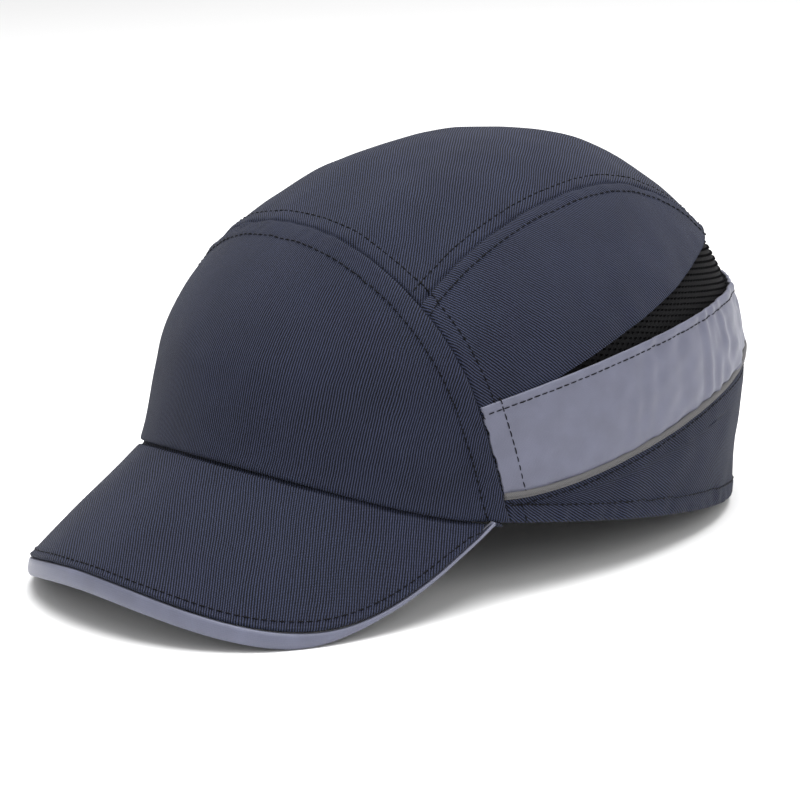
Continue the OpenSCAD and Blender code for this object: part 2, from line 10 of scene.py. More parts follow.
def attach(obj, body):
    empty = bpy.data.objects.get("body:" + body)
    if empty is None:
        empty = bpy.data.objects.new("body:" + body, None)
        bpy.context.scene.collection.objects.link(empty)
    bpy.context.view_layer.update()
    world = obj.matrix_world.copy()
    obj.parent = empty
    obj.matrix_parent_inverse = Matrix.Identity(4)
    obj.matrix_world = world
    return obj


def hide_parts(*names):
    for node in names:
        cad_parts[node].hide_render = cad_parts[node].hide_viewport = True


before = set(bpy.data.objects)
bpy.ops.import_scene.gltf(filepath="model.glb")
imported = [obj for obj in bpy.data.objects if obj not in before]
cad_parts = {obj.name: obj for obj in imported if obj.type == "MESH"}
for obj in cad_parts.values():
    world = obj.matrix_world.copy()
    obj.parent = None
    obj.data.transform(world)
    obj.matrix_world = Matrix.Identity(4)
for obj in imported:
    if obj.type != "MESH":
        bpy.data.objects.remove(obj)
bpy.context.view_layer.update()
scene = bpy.context.scene

# ---- Sizes of the cap ----

CROWN_HALF_W = 93.0
CROWN_FRONT = 132.0
CROWN_REAR = 112.0
DOME_H = 92.0
WALL_H = 42.0
CROWN_LEAN = 0.11
FRONT_WIDEN = 0.04
REAR_FOOT = 6.0
FRONT_VIEW_ROUND = 2.03
SIDE_VIEW_ROUND = 1.83
WALL_DEG = 22.0
CLOTH_T = 1.2
ARCH_FOOT = -53.0
ARCH_SLOPE = 0.307
ARCH_BEND = 0.115
ARCH_SPLIT = 22.0
CROWN_PANEL_HALF = 53.0
CROWN_PANEL_SPREAD = 6.5
CROWN_PANEL_REAR_Z = 100.0
BAND_TOP_FRONT = 40.0
BAND_TOP_REAR = 86.0
BAND_LOW_FRONT = 10.5
BAND_LOW_REAR = 68.0
MESH_START = 60.0
PIPING_R = 1.3
OPENING_HALF_W = 48.0
OPENING_H = 50.0
BINDING_W = 6.0
STRAP_W = 20.0
STRAP_Z = 15.0
STRAP_T = 1.2
BAR_R = 1.5
BAR_PITCH = 13.0
STRAP_BAR_X = -13.0
TAIL_L = 42.0
BAR_PLAY = 0.4
BAR_DEPTH = 1.0
BRIM_HALF_W = 88.5
BRIM_REACH = 128.5
BRIM_ENDS_Y = -43.5
BRIM_RISE = 11.7
BRIM_SLOPE = 0.8
BRIM_LIFT = 13.4
BRIM_BOW = 64.0
BOARD_T = 2.2
TRIM_H = 6.2
TRIM_END_H = 1.6
SWEATBAND_H = 30.0
SWEATBAND_T = 3.0
SWEATBAND_END = 145.0
LINING_DEPTH = 1.6
TAPE_W = 14.0
TAPE_T = 0.6
SHELL_T = 2.4
SHELL_DEPTH = 5.1
SHELL_LOW_Z = 21.0
SHELL_REAR_RISE = 34.0
PAD_DEPTH = 8.2
PAD_T = 5.0


# ---- Shape of the crown ----

def sind(a):
    return np.sin(np.radians(a))


def cosd(a):
    return np.cos(np.radians(a))


def norm(p):
    return np.sqrt((p * p).sum(-1, keepdims=True))


def unit(p):
    return p / np.maximum(norm(p), 1e-12)


def run(points):
    """How far along a line each of its points is."""
    return np.concatenate([[0], np.cumsum(norm(np.diff(points, axis=0))[:, 0])])


def mixed(a, b, s):
    return a * (1 - s) + b * s


def smooth(x, a, b):
    t = np.clip((x - a) / (b - a), 0, 1)
    return t * t * (3 - 2 * t)


def solve(f, low, high):
    """Where f crosses from negative to positive between low and high."""
    low, high = np.asarray(low, float), np.asarray(high, float)
    for _ in range(30):
        mid = (low + high) / 2
        past = f(mid) > 0
        low, high = np.where(past, low, mid), np.where(past, mid, high)
    return (low + high) / 2


def shaped(x, y, z):
    """A point of the plain dome, narrowed at the front, leaned back, and let out at the foot of the rear."""
    foot = np.where(y > 0, 1 + REAR_FOOT / CROWN_REAR * np.maximum(0, 1 - z / WALL_H), 1)
    return np.stack([x * (1 - FRONT_WIDEN * y / 100), y * foot + CROWN_LEAN * z, z], -1)


def reach(a):
    """Half length of the crown on the front's or the rear's side."""
    return np.where(cosd(a) > 0, CROWN_FRONT, CROWN_REAR)


def skin(u, v):
    """Point on the outside of the cap at a bearing and a latitude."""
    u, v = np.broadcast_arrays(u, v)
    up = np.maximum(v, 0)
    x = np.abs(sind(u)) * cosd(up) / CROWN_HALF_W
    y = np.abs(cosd(u)) * cosd(up) / reach(u)
    yz = y ** SIDE_VIEW_ROUND + (sind(up) / DOME_H) ** SIDE_VIEW_ROUND
    r = (x ** FRONT_VIEW_ROUND + yz ** (FRONT_VIEW_ROUND / SIDE_VIEW_ROUND)) ** (-1 / FRONT_VIEW_ROUND)
    return shaped(r * cosd(up) * sind(u), -r * cosd(up) * cosd(u),
                  WALL_H + np.where(v < 0, WALL_H * v / WALL_DEG, r * sind(up)))


def over(a, x):
    """Bearing and latitude of the point x to the side at angle a over the head."""
    yz = (np.abs(cosd(a)) / reach(a)) ** SIDE_VIEW_ROUND + (sind(a) / DOME_H) ** SIDE_VIEW_ROUND
    left = np.maximum(0, 1 - (np.abs(x) / CROWN_HALF_W) ** FRONT_VIEW_ROUND)
    r = (left / yz ** (FRONT_VIEW_ROUND / SIDE_VIEW_ROUND)) ** (1 / FRONT_VIEW_ROUND)
    return (np.degrees(np.arctan2(x, r * cosd(a))),
            np.degrees(np.arctan2(r * sind(a), np.hypot(x, r * cosd(a)))))


def v_at(u, z):
    """Latitude of a height on a bearing."""
    u, z = np.broadcast_arrays(u, z)
    return np.where(z < WALL_H, WALL_DEG * (z / WALL_H - 1),
                    solve(lambda v: skin(u, v)[..., 2] - z, np.zeros(u.shape), np.full(u.shape, 90.0)))


# ---- Seam lines ----

def pairs(u, v):
    return np.stack(np.broadcast_arrays(u, v), -1)


def level(from_u, to_u, height):
    """The line between two bearings, at a height that changes with the bearing."""
    def line(t):
        u = mixed(from_u, to_u, t)
        return pairs(u, v_at(u, height(u)))
    return line


def on_skin(line, steps):
    """Points of a line of bearings and latitudes, at even fractions of it."""
    return skin(*line(np.linspace(0, 1, steps)).T)


def behind_arch(p, d=0.0):
    return p[..., 1] - ARCH_FOOT - d + ARCH_SLOPE * p[..., 2] + ARCH_BEND * p[..., 2] ** 2 / 100


def arch_u(v, d=0.0):
    """Bearing of the arch seam, or of a line d millimetres behind it, at a latitude."""
    return solve(lambda u: behind_arch(skin(u, v), d), 0, 100)


def arch_v(u, d=0.0):
    """Latitude of the arch seam at a bearing."""
    return solve(lambda v: behind_arch(skin(u, v), d), -WALL_DEG, 85)


def brim_seam_z(u):
    return BRIM_RISE * np.maximum(0, 1 - (sind(u) / sind(50)) ** 2) ** 1.5


def rim_v(u):
    return np.where(np.abs(u) < 50, v_at(u, brim_seam_z(u)), -WALL_DEG)


def crown_seam_x(a):
    return CROWN_PANEL_HALF + CROWN_PANEL_SPREAD * cosd(a)


def crown_seam(a, e=0.0):
    return over(a, crown_seam_x(a) + e)


def panel_start(s, d=0.0):
    return solve(lambda a: behind_arch(skin(*over(a, s * crown_seam_x(a))), d), 5, 100)


def panel_end(s, z):
    return solve(lambda a: z - skin(*over(a, s * crown_seam_x(a)))[..., 2], 90, 175)


def rear_u(x, v):
    return solve(lambda u: x - skin(u, v)[..., 0], 100, 180)


def share(u, start):
    return np.clip((u - start) / (180 - start), 0, 1)


band_top_u = float(arch_u(v_at(48, BAND_TOP_FRONT)))
band_low_u = float(arch_u(v_at(55, BAND_LOW_FRONT)))


def band_top_z(u):
    return BAND_TOP_REAR - (BAND_TOP_REAR - BAND_TOP_FRONT) * (1 - share(u, band_top_u)) ** 2.2


def band_low_z(u):
    return BAND_LOW_FRONT + (BAND_LOW_REAR - BAND_LOW_FRONT) * sind(90 * share(u, band_low_u)) ** 1.4


side_corner_u = float(crown_seam(panel_end(1, CROWN_PANEL_REAR_Z))[0])


def mesh_top_z(u):
    low = band_top_z(MESH_START)
    s = np.clip((u - MESH_START) / (side_corner_u - MESH_START), 0, 1)
    return low + (CROWN_PANEL_REAR_Z - low) * (1 - (1 - s) ** 1.7)


def opening_edge(f, inward=0.0):
    """Edge of the rear opening, f from 0 at the rim to 90 at its top."""
    v = v_at(180, (OPENING_H - inward) * sind(f))
    return rear_u((OPENING_HALF_W - inward) * cosd(f), v), v


# ---- Brim ----

def brim_edge(s, inset=0.0):
    """Plan of the brim's outer edge, s from -1 at the right end to 1 at the left."""
    f = 89.1 * s
    return ((BRIM_HALF_W - inset) * np.sign(f) * np.abs(sind(f)) ** 0.945,
            BRIM_ENDS_Y - (BRIM_REACH - inset) * cosd(f) ** 0.576)


def brim_height(x, y):
    ahead = y + CROWN_FRONT
    return (BRIM_RISE - 3 + BRIM_SLOPE * ahead - BRIM_LIFT * (np.maximum(0, -ahead) / 64) ** 2
            - BRIM_BOW * (0.83 * (x / BRIM_HALF_W) ** 2 + 0.17 * (x / BRIM_HALF_W) ** 4))


brim_end_u = float(arch_u(-WALL_DEG))


def brim_point(s, t, inset=0.0):
    """Point of the brim's top, t from 0 at the crown to 1 at the edge."""
    s, t = np.broadcast_arrays(s, t)
    u = brim_end_u * s
    root = skin(u, rim_v(u))
    ex, ey = brim_edge(s, inset)
    x, y = mixed(root[..., 0] * 1.005, ex, t), mixed(root[..., 1] * 1.005, ey, t)
    return np.stack([x, y, brim_height(x, y)
                     + (root[..., 2] - brim_height(root[..., 0], root[..., 1])) * (1 - t) ** 2], -1)


def brim_up(p):
    x, y = p[..., 0], p[..., 1]
    here = brim_height(x, y)
    return unit(np.stack([here - brim_height(x + 1, y), here - brim_height(x, y + 1), np.ones_like(x)], -1))


# ---- How the cap stands ----

rear_rest = skin(rear_u(OPENING_HALF_W - BINDING_W, -WALL_DEG), -WALL_DEG)


def trim_height(s):
    return TRIM_END_H + (TRIM_H - TRIM_END_H) * cosd(88 * s) ** 0.4


def trim_foot(s):
    foot = brim_point(s, 1)
    foot[..., 2] -= CLOTH_T + trim_height(s)
    return foot


feet = trim_foot(np.arange(46) * 0.02)
rest_tilt = float(np.degrees(np.arctan((rear_rest[2] - feet[:, 2]) / (rear_rest[1] - feet[:, 1])).max()))
tip, rear_end = trim_foot(0.0), skin(180, v_at(180, band_low_z(180)))
middle_y = float(((rear_end[1] + tip[1]) * cosd(rest_tilt) + (rear_end[2] + tip[2]) * sind(rest_tilt)) / 2)
stand_z = float(rear_rest[1] * sind(rest_tilt) - rear_rest[2] * cosd(rest_tilt))


def turned(p):
    """Directions of the upright cap, tilted as it stands."""
    c, s = cosd(rest_tilt), sind(rest_tilt)
    return np.stack([p[..., 0], p[..., 1] * c + p[..., 2] * s, p[..., 2] * c - p[..., 1] * s], -1)


def standing(p):
    """Points of the upright cap in millimetres, where the cap stands in metres."""
    return (turned(p) + [0, -middle_y, stand_z]) / 1000


# ---- Node trees ----

class Value:
    """An output socket that takes Python's operators; each adds a Math node."""

    def __init__(self, graph, socket):
        self.graph, self.socket = graph, socket

    def math(self, operation, *others):
        return self.graph.math(operation, self, *others)

    def __add__(self, other):
        return self.math("ADD", other)

    __radd__ = __add__

    def __sub__(self, other):
        return self.math("SUBTRACT", other)

    def __rsub__(self, other):
        return self.graph.math("SUBTRACT", other, self)

    def __mul__(self, other):
        return self.math("MULTIPLY", other)

    __rmul__ = __mul__

    def __truediv__(self, other):
        return self.math("DIVIDE", other)

    def __pow__(self, other):
        return self.math("POWER", other)

    def wave(self, period):
        """From 0 to 1 and back over each period."""
        return (self * (2 * math.pi / period)).math("SINE") * 0.5 + 0.5

    def between(self, low, high):
        """0 below low, 1 above high, and smooth between them."""
        return self.graph.node("ShaderNodeMapRange", {"interpolation_type": "SMOOTHSTEP"},
                               {0: self, 1: low, 2: high})[0]


class Graph:
    """A material's or a modifier's node tree."""

    def __init__(self, tree):
        self.tree = tree

    def feed(self, socket, value):
        if isinstance(value, Value):
            self.tree.links.new(value.socket, socket)
        else:
            socket.default_value = value

    def node(self, kind, settings=None, inputs=None):
        made = self.tree.nodes.new(kind)
        for key, value in (settings or {}).items():
            if key == "stops":
                for k, (place, colour) in enumerate(value):
                    stop = made.color_ramp.elements[k] if k < 2 else made.color_ramp.elements.new(place)
                    stop.position, stop.color = place, (*colour, 1)
            else:
                setattr(made, key, value)
        for key, value in (inputs or {}).items():
            self.feed(made.inputs[key], value)
        return Outputs(self, made)

    def math(self, operation, *values):
        return self.node("ShaderNodeMath", {"operation": operation}, dict(enumerate(values)))[0]

    def at(self, x=0.0, y=0.0, z=0.0):
        return self.node("ShaderNodeCombineXYZ", {}, {0: x, 1: y, 2: z})[0]


class Outputs:
    """A node's output sockets, taken by number or name."""

    def __init__(self, graph, made):
        self.graph, self.made = graph, made

    def __getitem__(self, key):
        return Value(self.graph, self.made.outputs[key])


# ---- Finishes ----

class Finish(Graph):
    """A material whose surface is one Principled shader."""

    def __init__(self, name, **constants):
        self.material = bpy.data.materials.new(name)
        self.material.use_nodes = True
        super().__init__(self.material.node_tree)
        self.shader = self.tree.nodes["Principled BSDF"]
        for key, value in constants.items():
            self.shader.inputs[key.replace("_", " ").title().replace("Ior", "IOR")].default_value = value

    def plan(self):
        """Place on the piece's flat pattern in millimetres: across, up, and both."""
        split = self.node("ShaderNodeSeparateXYZ", {}, {0: self.node("ShaderNodeUVMap", {"uv_map": "cloth"})[0]})
        return split[0], split[1], self.at(split[0], split[1])

    def place(self):
        """Place on the object, in metres."""
        return self.node("ShaderNodeTexCoord")["Object"]

    def noise(self, where, scale, detail=2.0):
        return self.node("ShaderNodeTexNoise", {}, {"Vector": where, "Scale": scale, "Detail": detail})[0]

    def colours(self, factor, low, high):
        return self.node("ShaderNodeMix", {"data_type": "RGBA"},
                         {0: factor, 6: (*low, 1) if isinstance(low, tuple) else low,
                          7: (*high, 1) if isinstance(high, tuple) else high})[2]

    def finish(self, colour=None, roughness=None, height=None, depth=0.0001, strength=1.0):
        if colour is not None:
            self.feed(self.shader.inputs["Base Color"], colour)
        if roughness is not None:
            self.feed(self.shader.inputs["Roughness"], roughness)
        if height is not None:
            bump = self.node("ShaderNodeBump", {}, {"Strength": strength, "Distance": depth, "Height": height})
            self.feed(self.shader.inputs["Normal"], bump[0])
        return self.material


def dimmed(tint, share_left):
    return tuple(c * share_left for c in tint)


def twill(name, groove_shade, yarn, pitch=0.9, pick=0.62):
    """Cotton twill: ridges of yarn along the pattern's y, each broken up by its picks; the grooves between the ridges
    are painted near-black, navy cloth with painted shade.
    """
    cloth = Finish(name, sheen_weight=0.04, sheen_roughness=0.45, specular_ior_level=0.18)
    x, y, flat = cloth.plan()
    across = x + cloth.noise(flat, 0.06, 1.0) * 1.6 + cloth.noise(flat, 0.9, 1.0) * 0.28
    ridge = across.wave(pitch)
    picks = (y + (across / pitch).math("FLOOR") * (pick * 0.37)).wave(pick)
    fuzz = cloth.noise(flat, 2.6, 3.0)
    weave = ridge * (picks * 0.3 + 0.7)
    shade = weave * 0.98 + fuzz * 0.36 + cloth.noise(flat, 0.035, 3.0) * 0.24 - 0.22
    worn = cloth.noise(cloth.place(), 22.0, 4.0)
    # The dark end of this colour ramp is painted shade in the grooves, far darker than the navy yarn and on top of
    # the bump's own shading.
    return cloth.finish(cloth.colours(shade.between(0.2, 1.0), groove_shade, yarn),
                        worn * 0.14 + fuzz * 0.1 + 0.72, weave + fuzz * 0.5, 0.00022, 0.9)


# The first colour of each twill is the painted shade of its grooves, the second the yarn's own navy.
navy_twill = twill("navy_twill", (0.0006, 0.0008, 0.002), (0.0305, 0.037, 0.074))
navy_lining = twill("navy_lining_twill", (0.002, 0.0024, 0.004), (0.021, 0.0245, 0.041), 1.1, 0.7)


LOOP_PITCH = 0.55


def tape(name, tint, shine):
    """Reflective tape: a satin grey film on fine knit, a little mottled where it has been handled."""
    film = Finish(name, sheen_weight=0.1, specular_ior_level=0.55, metallic=0.12)
    x, y, flat = film.plan()
    loops = x.wave(LOOP_PITCH) * 0.5 + y.wave(LOOP_PITCH * 0.8) * 0.5
    mottled = film.noise(flat, 0.11, 4.0)
    grain = film.noise(flat, 3.2, 2.0)
    shade = mottled * 0.5 + grain * 0.35 + loops * 0.15
    dull = dimmed(tint, 0.8)
    bright = dimmed(tint, 1.14)
    return film.finish(film.colours(shade.between(0.25, 0.75), dull, bright), mottled * 0.16 + shine,
                       loops * 0.5 + grain, 0.00006, 0.6)


silver_tape = tape("silver_tape", (0.094, 0.0975, 0.142), 0.42)
silver_trim = tape("silver_trim", (0.104, 0.11, 0.16), 0.4)


def corded(name, tint):
    """Thin cloth wrapped round a cord, its threads on the slant."""
    cover = Finish(name, sheen_weight=0.1, specular_ior_level=0.3)
    x, y, flat = cover.plan()
    wrap = (x + y * 0.7).wave(0.7)
    grain = cover.noise(flat, 1.7, 3.0)
    dull = dimmed(tint, 0.72)
    return cover.finish(cover.colours((wrap * 0.5 + grain * 0.6).between(0.1, 0.9), dull, tint), grain * 0.2 + 0.62,
                        wrap + grain * 0.5, 0.00008, 0.7)


grey_piping = corded("grey_piping", (0.09, 0.087, 0.089))
navy_binding = corded("navy_binding", (0.02, 0.0235, 0.04))


def knit(name, tint, loop=0.9, sheen=0.2):
    """Soft knitted fabric with round loops."""
    fabric = Finish(name, sheen_weight=sheen, sheen_roughness=0.4, specular_ior_level=0.15)
    x, y, flat = fabric.plan()
    rows = (y + x.wave(loop) * (0.3 * loop)).wave(loop * 0.8)
    loops = x.wave(loop) * 0.6 + rows * 0.4
    fuzz = fabric.noise(flat, 2.2, 3.0)
    dark = dimmed(tint, 0.45)
    return fabric.finish(fabric.colours((loops * 0.6 + fuzz * 0.5).between(0.15, 0.95), dark, tint), fuzz * 0.2 + 0.7,
                         loops + fuzz * 0.4, 0.00016, 0.8)


black_mesh = knit("black_mesh", (0.004, 0.004, 0.005), 0.75, 0.01)
sweat_cloth = knit("sweatband_cloth", (0.028, 0.029, 0.034), 1.1)
lining_tape = knit("lining_tape", (0.05, 0.052, 0.06), 0.8)
hook_tape = knit("hook_tape", (0.03, 0.03, 0.034), 1.5)


def webbing_cloth(name, tint):
    """Woven strap: fine ribs across, with a denser selvedge."""
    woven = Finish(name, sheen_weight=0.12, specular_ior_level=0.3)
    x, y, flat = woven.plan()
    ribs = x.wave(1.25)
    ends = (y + (x / 1.25).math("FLOOR") * 0.35).wave(0.7)
    fuzz = woven.noise(flat, 2.4, 3.0)
    dark = dimmed(tint, 0.4)
    shade = ribs * 0.5 + ends * 0.25 + fuzz * 0.4
    return woven.finish(woven.colours(shade.between(0.2, 1.0), dark, tint), fuzz * 0.2 + 0.62,
                        ribs + ends * 0.4 + fuzz * 0.3, 0.0002, 0.8)


navy_webbing = webbing_cloth("navy_webbing", (0.022, 0.025, 0.04))


def moulded(name, tint, roughness, grain=0.00005):
    """Moulded plastic with a fine spark-eroded grain and a few rubbed places."""
    plastic = Finish(name, specular_ior_level=0.45)
    where = plastic.place()
    pits = plastic.noise(where, 2400.0, 2.0)
    cloudy = plastic.noise(where, 35.0, 3.0)
    rubbed = plastic.noise(where, 120.0, 5.0).between(0.6, 0.78)
    light = tuple(c * 1.5 + 0.006 for c in tint)
    return plastic.finish(plastic.colours(cloudy * 0.35 + rubbed * 0.3, tint, light),
                          cloudy * 0.12 + roughness - rubbed * 0.1, pits, grain, 0.5)


shell_plastic = moulded("shell_plastic", (0.016, 0.016, 0.018), 0.5)
buckle_plastic = moulded("buckle_plastic", (0.014, 0.014, 0.016), 0.38, 0.00003)
board_plastic = moulded("board_plastic", (0.1, 0.1, 0.105), 0.55)


def foam(name, tint):
    """Closed-cell foam with small open pores on its skin."""
    soft = Finish(name, specular_ior_level=0.2, sheen_weight=0.1)
    where = soft.place()
    cells = soft.node("ShaderNodeTexVoronoi", {}, {"Vector": where, "Scale": 900.0})[0]
    cloudy = soft.noise(where, 60.0, 3.0)
    pores = cells.between(0.05, 0.5)
    dark = dimmed(tint, 0.4)
    return soft.finish(soft.colours(pores * 0.7 + cloudy * 0.3, dark, tint), cloudy * 0.15 + 0.75, pores,
                       0.00025, 0.7)


pad_foam = foam("pad_foam", (0.055, 0.057, 0.062))


def yarn(name, tint):
    thread = Finish(name, specular_ior_level=0.12)
    twist = thread.noise(thread.place(), 1800.0, 1.0)
    dark = dimmed(tint, 0.5)
    return thread.finish(thread.colours(twist, dark, tint), twist * 0.2 + 0.5, twist, 0.00005, 0.5)


navy_thread = yarn("navy_thread", (0.0018, 0.0019, 0.0035))


# ---- Lines on the cap ----

def respaced(points, step=1.0):
    """The same line with points a step apart."""
    points = np.asarray(points, float)
    along = run(points)
    n = max(2, int(round(along[-1] / step)))
    where = np.linspace(0, along[-1], n + 1)
    return np.stack([np.interp(where, along, points[:, c]) for c in range(points.shape[1])], -1)


def mirror(points):
    return points[::-1] * [-1, 1, 1]


arch_side = np.linspace(-WALL_DEG, ARCH_SPLIT, 40)
arch_top = np.linspace(-1, 1, 81)[1:-1] * float(arch_u(ARCH_SPLIT))
left_leg = skin(-arch_u(arch_side), arch_side)
arch_line = respaced(np.concatenate([left_leg, skin(arch_top, arch_v(np.abs(arch_top))), mirror(left_leg)]))
seam_a = np.linspace(float(panel_start(1)), float(panel_end(1, CROWN_PANEL_REAR_Z)), 90)
crown_left = skin(*crown_seam(seam_a))
across = np.linspace(-1, 1, 61)
rear_a = panel_end(across, CROWN_PANEL_REAR_Z)
crown_back = respaced(skin(*over(rear_a, across * crown_seam_x(rear_a))))
rim_u = mixed(brim_end_u, float(opening_edge(0.0)[0]), np.linspace(0, 1, 121))
brim_u = np.linspace(-1, 1, 121) * brim_end_u
brim_root = respaced(skin(brim_u, rim_v(brim_u)))
LINES = {"arch": arch_line, "crown_back": crown_back, "brim_root": brim_root}
for name, points in (("crown", crown_left), ("mesh", on_skin(level(MESH_START, side_corner_u, mesh_top_z), 121)),
                     ("band_top", on_skin(level(band_top_u, 180, band_top_z), 121)),
                     ("band_low", on_skin(level(band_low_u, 180, band_low_z), 121)),
                     ("opening", skin(*opening_edge(np.linspace(0, 90, 40)))), ("rim", skin(rim_u, -WALL_DEG))):
    LINES[name + "_left"] = respaced(points)
    LINES[name + "_right"] = mirror(LINES[name + "_left"])


def distance(points, line):
    """Distance of each point from a line."""
    flat = points.reshape(-1, 3)
    far = np.empty(len(flat))
    for k in range(0, len(flat), 3000):
        q = flat[k:k + 3000]
        near = ((q[:, None] - line[None]) ** 2).sum(-1).argmin(1)
        best = np.full(len(q), np.inf)
        for step in (-1, 0):
            a = np.clip(near + step, 0, len(line) - 2)
            way = line[a + 1] - line[a]
            t = np.clip(((q - line[a]) * way).sum(-1) / (way * way).sum(-1), 0, 1)
            best = np.minimum(best, norm(q - line[a] - t[:, None] * way)[:, 0])
        far[k:k + 3000] = best
    return far.reshape(points.shape[:-1])


def ripple(p, size, seed=3, count=16):
    """Smooth random waves about a size long, mostly between -1 and 1."""
    r = np.random.default_rng(seed)
    ways = unit(r.normal(size=(count, 3))) * 2 * math.pi / (size * r.uniform(0.7, 1.5, (count, 1)))
    return np.sin(p @ ways.T + r.uniform(0, 2 * math.pi, count)).sum(-1) / math.sqrt(count)


# ---- Pieces from grids of points ----

def normals(g):
    """Outward direction at each point of a grid."""
    right = np.empty_like(g)
    up = np.empty_like(g)
    right[:, 1:-1] = g[:, 2:] - g[:, :-2]
    right[:, 0], right[:, -1] = g[:, 1] - g[:, 0], g[:, -1] - g[:, -2]
    up[1:-1] = g[2:] - g[:-2]
    up[0], up[-1] = g[1] - g[0], g[-1] - g[-2]
    return unit(np.cross(right, up))


def placed(name, data):
    """A new object in the scene, at its origin."""
    made = bpy.data.objects.new(name, data)
    scene.collection.objects.link(made)
    return made


def patterned(mesh, flat):
    """Give a mesh its flat pattern, a place in millimetres for each point."""
    loops = np.empty(len(mesh.loops), dtype=np.int32)
    mesh.loops.foreach_get("vertex_index", loops)
    mesh.uv_layers.new(name="cloth").data.foreach_set("uv", np.asarray(flat)[loops].astype(np.float32).ravel())


def new_piece(name, points, faces, body, material, nodes=(), flat=None):
    """A piece from points in the upright cap's millimetres; flat is its pattern, a point for each point."""
    mesh = bpy.data.meshes.new(name)
    mesh.from_pydata(standing(points).tolist(), [], faces)
    if flat is not None:
        patterned(mesh, flat)
    mesh.shade_smooth()
    mesh.materials.append(material)
    piece = placed(name, mesh)
    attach(piece, body)
    if nodes:
        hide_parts(*nodes)
    return piece


def grid_faces(m, n, start=0, turn=False, ring=False):
    """Quads of a grid with m rows and n columns of points, facing out where columns run left and rows up."""
    faces = []
    for j in range(m - 1):
        for i in range(n if ring else n - 1):
            a, b = start + j * n + i, start + j * n + (i + 1) % n
            face = (a, b, b + n, a + n)
            faces.append(face[::-1] if turn else face)
    return faces


def plate_faces(m, n):
    """Faces of a closed plate between two grids, the outer one first."""
    count = m * n
    rim = ([i for i in range(n)] + [j * n + n - 1 for j in range(1, m)]
           + [(m - 1) * n + i for i in range(n - 2, -1, -1)] + [j * n for j in range(m - 2, 0, -1)])
    faces = grid_faces(m, n) + grid_faces(m, n, count, True)
    for a, b in zip(rim, rim[1:] + rim[:1]):
        faces.append((b, a, a + count, b + count))
    return faces


def plate(name, outer, inner, body, material, nodes, plan=None):
    """A closed plate between two grids of points; plan is the grid's flat pattern."""
    return new_piece(name, np.concatenate([outer.reshape(-1, 3), inner.reshape(-1, 3)]),
                     plate_faces(*outer.shape[:2]), body, material, nodes,
                     None if plan is None else np.tile(plan.reshape(-1, 2), (2, 1)))


def swept(name, rings, far, girth, body, material, nodes, turn=True):
    """A tube through rings of points, closed at both ends; its pattern is how far along and how far round."""
    n, m = rings.shape[:2]
    faces = grid_faces(n, m, ring=True)
    faces += [tuple(range(m - 1, -1, -1)), tuple((n - 1) * m + k for k in range(m))]
    if turn:
        faces = [f[::-1] for f in faces]
    plan = pairs(far[:, None], girth[None])
    return new_piece(name, rings.reshape(-1, 3), faces, body, material, nodes, plan.reshape(-1, 2))


def flattened(g, start=None):
    """Flat pattern of a grid of points in millimetres: its squares laid out with as little stretch as they allow,
    from a rectangle or from the given start."""
    m, n = g.shape[:2]
    x, y = run(g[m // 2]), run(g[:, n // 2])
    flat = np.stack(np.meshgrid(x - x[n // 2], y - y[m // 2]), -1) if start is None else start
    number = np.arange(m * n).reshape(m, n)
    pairs = np.concatenate([np.stack([a.ravel(), b.ravel()], -1) for a, b in (
        (number[:, :-1], number[:, 1:]), (number[:-1], number[1:]),
        (number[:-1, :-1], number[1:, 1:]), (number[1:, :-1], number[:-1, 1:]))])
    long = norm(g.reshape(-1, 3)[pairs[:, 0]] - g.reshape(-1, 3)[pairs[:, 1]])[:, 0]
    p = flat.reshape(-1, 2).copy()
    count = np.bincount(pairs.ravel(), minlength=m * n)[:, None]
    for _ in range(900):
        way = p[pairs[:, 1]] - p[pairs[:, 0]]
        now = norm(way)
        push = way * (1 - long[:, None] / np.maximum(now, 1e-6)) * 0.5
        move = np.zeros_like(p)
        np.add.at(move, pairs[:, 0], push)
        np.add.at(move, pairs[:, 1], -push)
        p += move / count * 1.6
    return p.reshape(m, n, 2)


def unrolled(g, slope=1.16):
    """A grid arched across x laid flat by each row's own length beside its depth, a first guess for flattened.
    slope is how much longer the sloping brim is than that."""
    step = np.diff(g, axis=1)
    across = np.cumsum(np.sign(step[..., 0]) * np.hypot(step[..., 0], step[..., 2]), axis=1)
    across = np.concatenate([np.zeros((len(g), 1)), across], 1)
    return np.stack([across - across[:, g.shape[1] // 2][:, None], g[..., 1]], -1) * slope


def looked_up(flat, s, t):
    """Values of an even grid at the fractions s along and t up."""
    m, n = flat.shape[:2]
    i, j = np.minimum((s * (n - 1)).astype(int), n - 2), np.minimum((t * (m - 1)).astype(int), m - 2)
    a, b = (s * (n - 1) - i)[None, :, None], (t * (m - 1) - j)[:, None, None]
    return mixed(mixed(flat[j][:, i], flat[j][:, i + 1], a), mixed(flat[j + 1][:, i], flat[j + 1][:, i + 1], a), b)


def spaced(length, step=1.7):
    """Fractions along a length, closer together near both ends."""
    edge = np.array([0, 0.3, 0.6, 1.0, 1.5, 2.2, 3.2])
    n = max(2, int((length - 6.4) / step))
    return np.concatenate([edge, np.linspace(3.2, length - 3.2, n + 1)[1:-1], (length - edge)[::-1]]) / length


def patch(low, high, start, end):
    """Place on the skin at fractions s along and t up, between four edge lines given as functions."""
    def place(s, t):
        a, b, c, d = low(s), high(s), start(t), end(t)
        sx, tx = s[None, :, None], t[:, None, None]
        return (mixed(a[None], b[None], tx) + mixed(c[:, None], d[:, None], sx)
                - mixed(mixed(a[0], a[-1], sx), mixed(b[0], b[-1], sx), tx))
    return place


def through(points):
    """A line through a row of bearings and latitudes."""
    points = np.asarray(points, float)
    k = np.arange(len(points))
    return lambda t: np.stack([np.interp(t * (len(points) - 1), k, points[:, c]) for c in (0, 1)], -1)


def flipped(place):
    """The same patch on the other side of the cap."""
    def other(s, t):
        p = place(1 - s[::-1], t)[:, ::-1]
        return np.stack([-p[..., 0], p[..., 1]], -1)
    return other


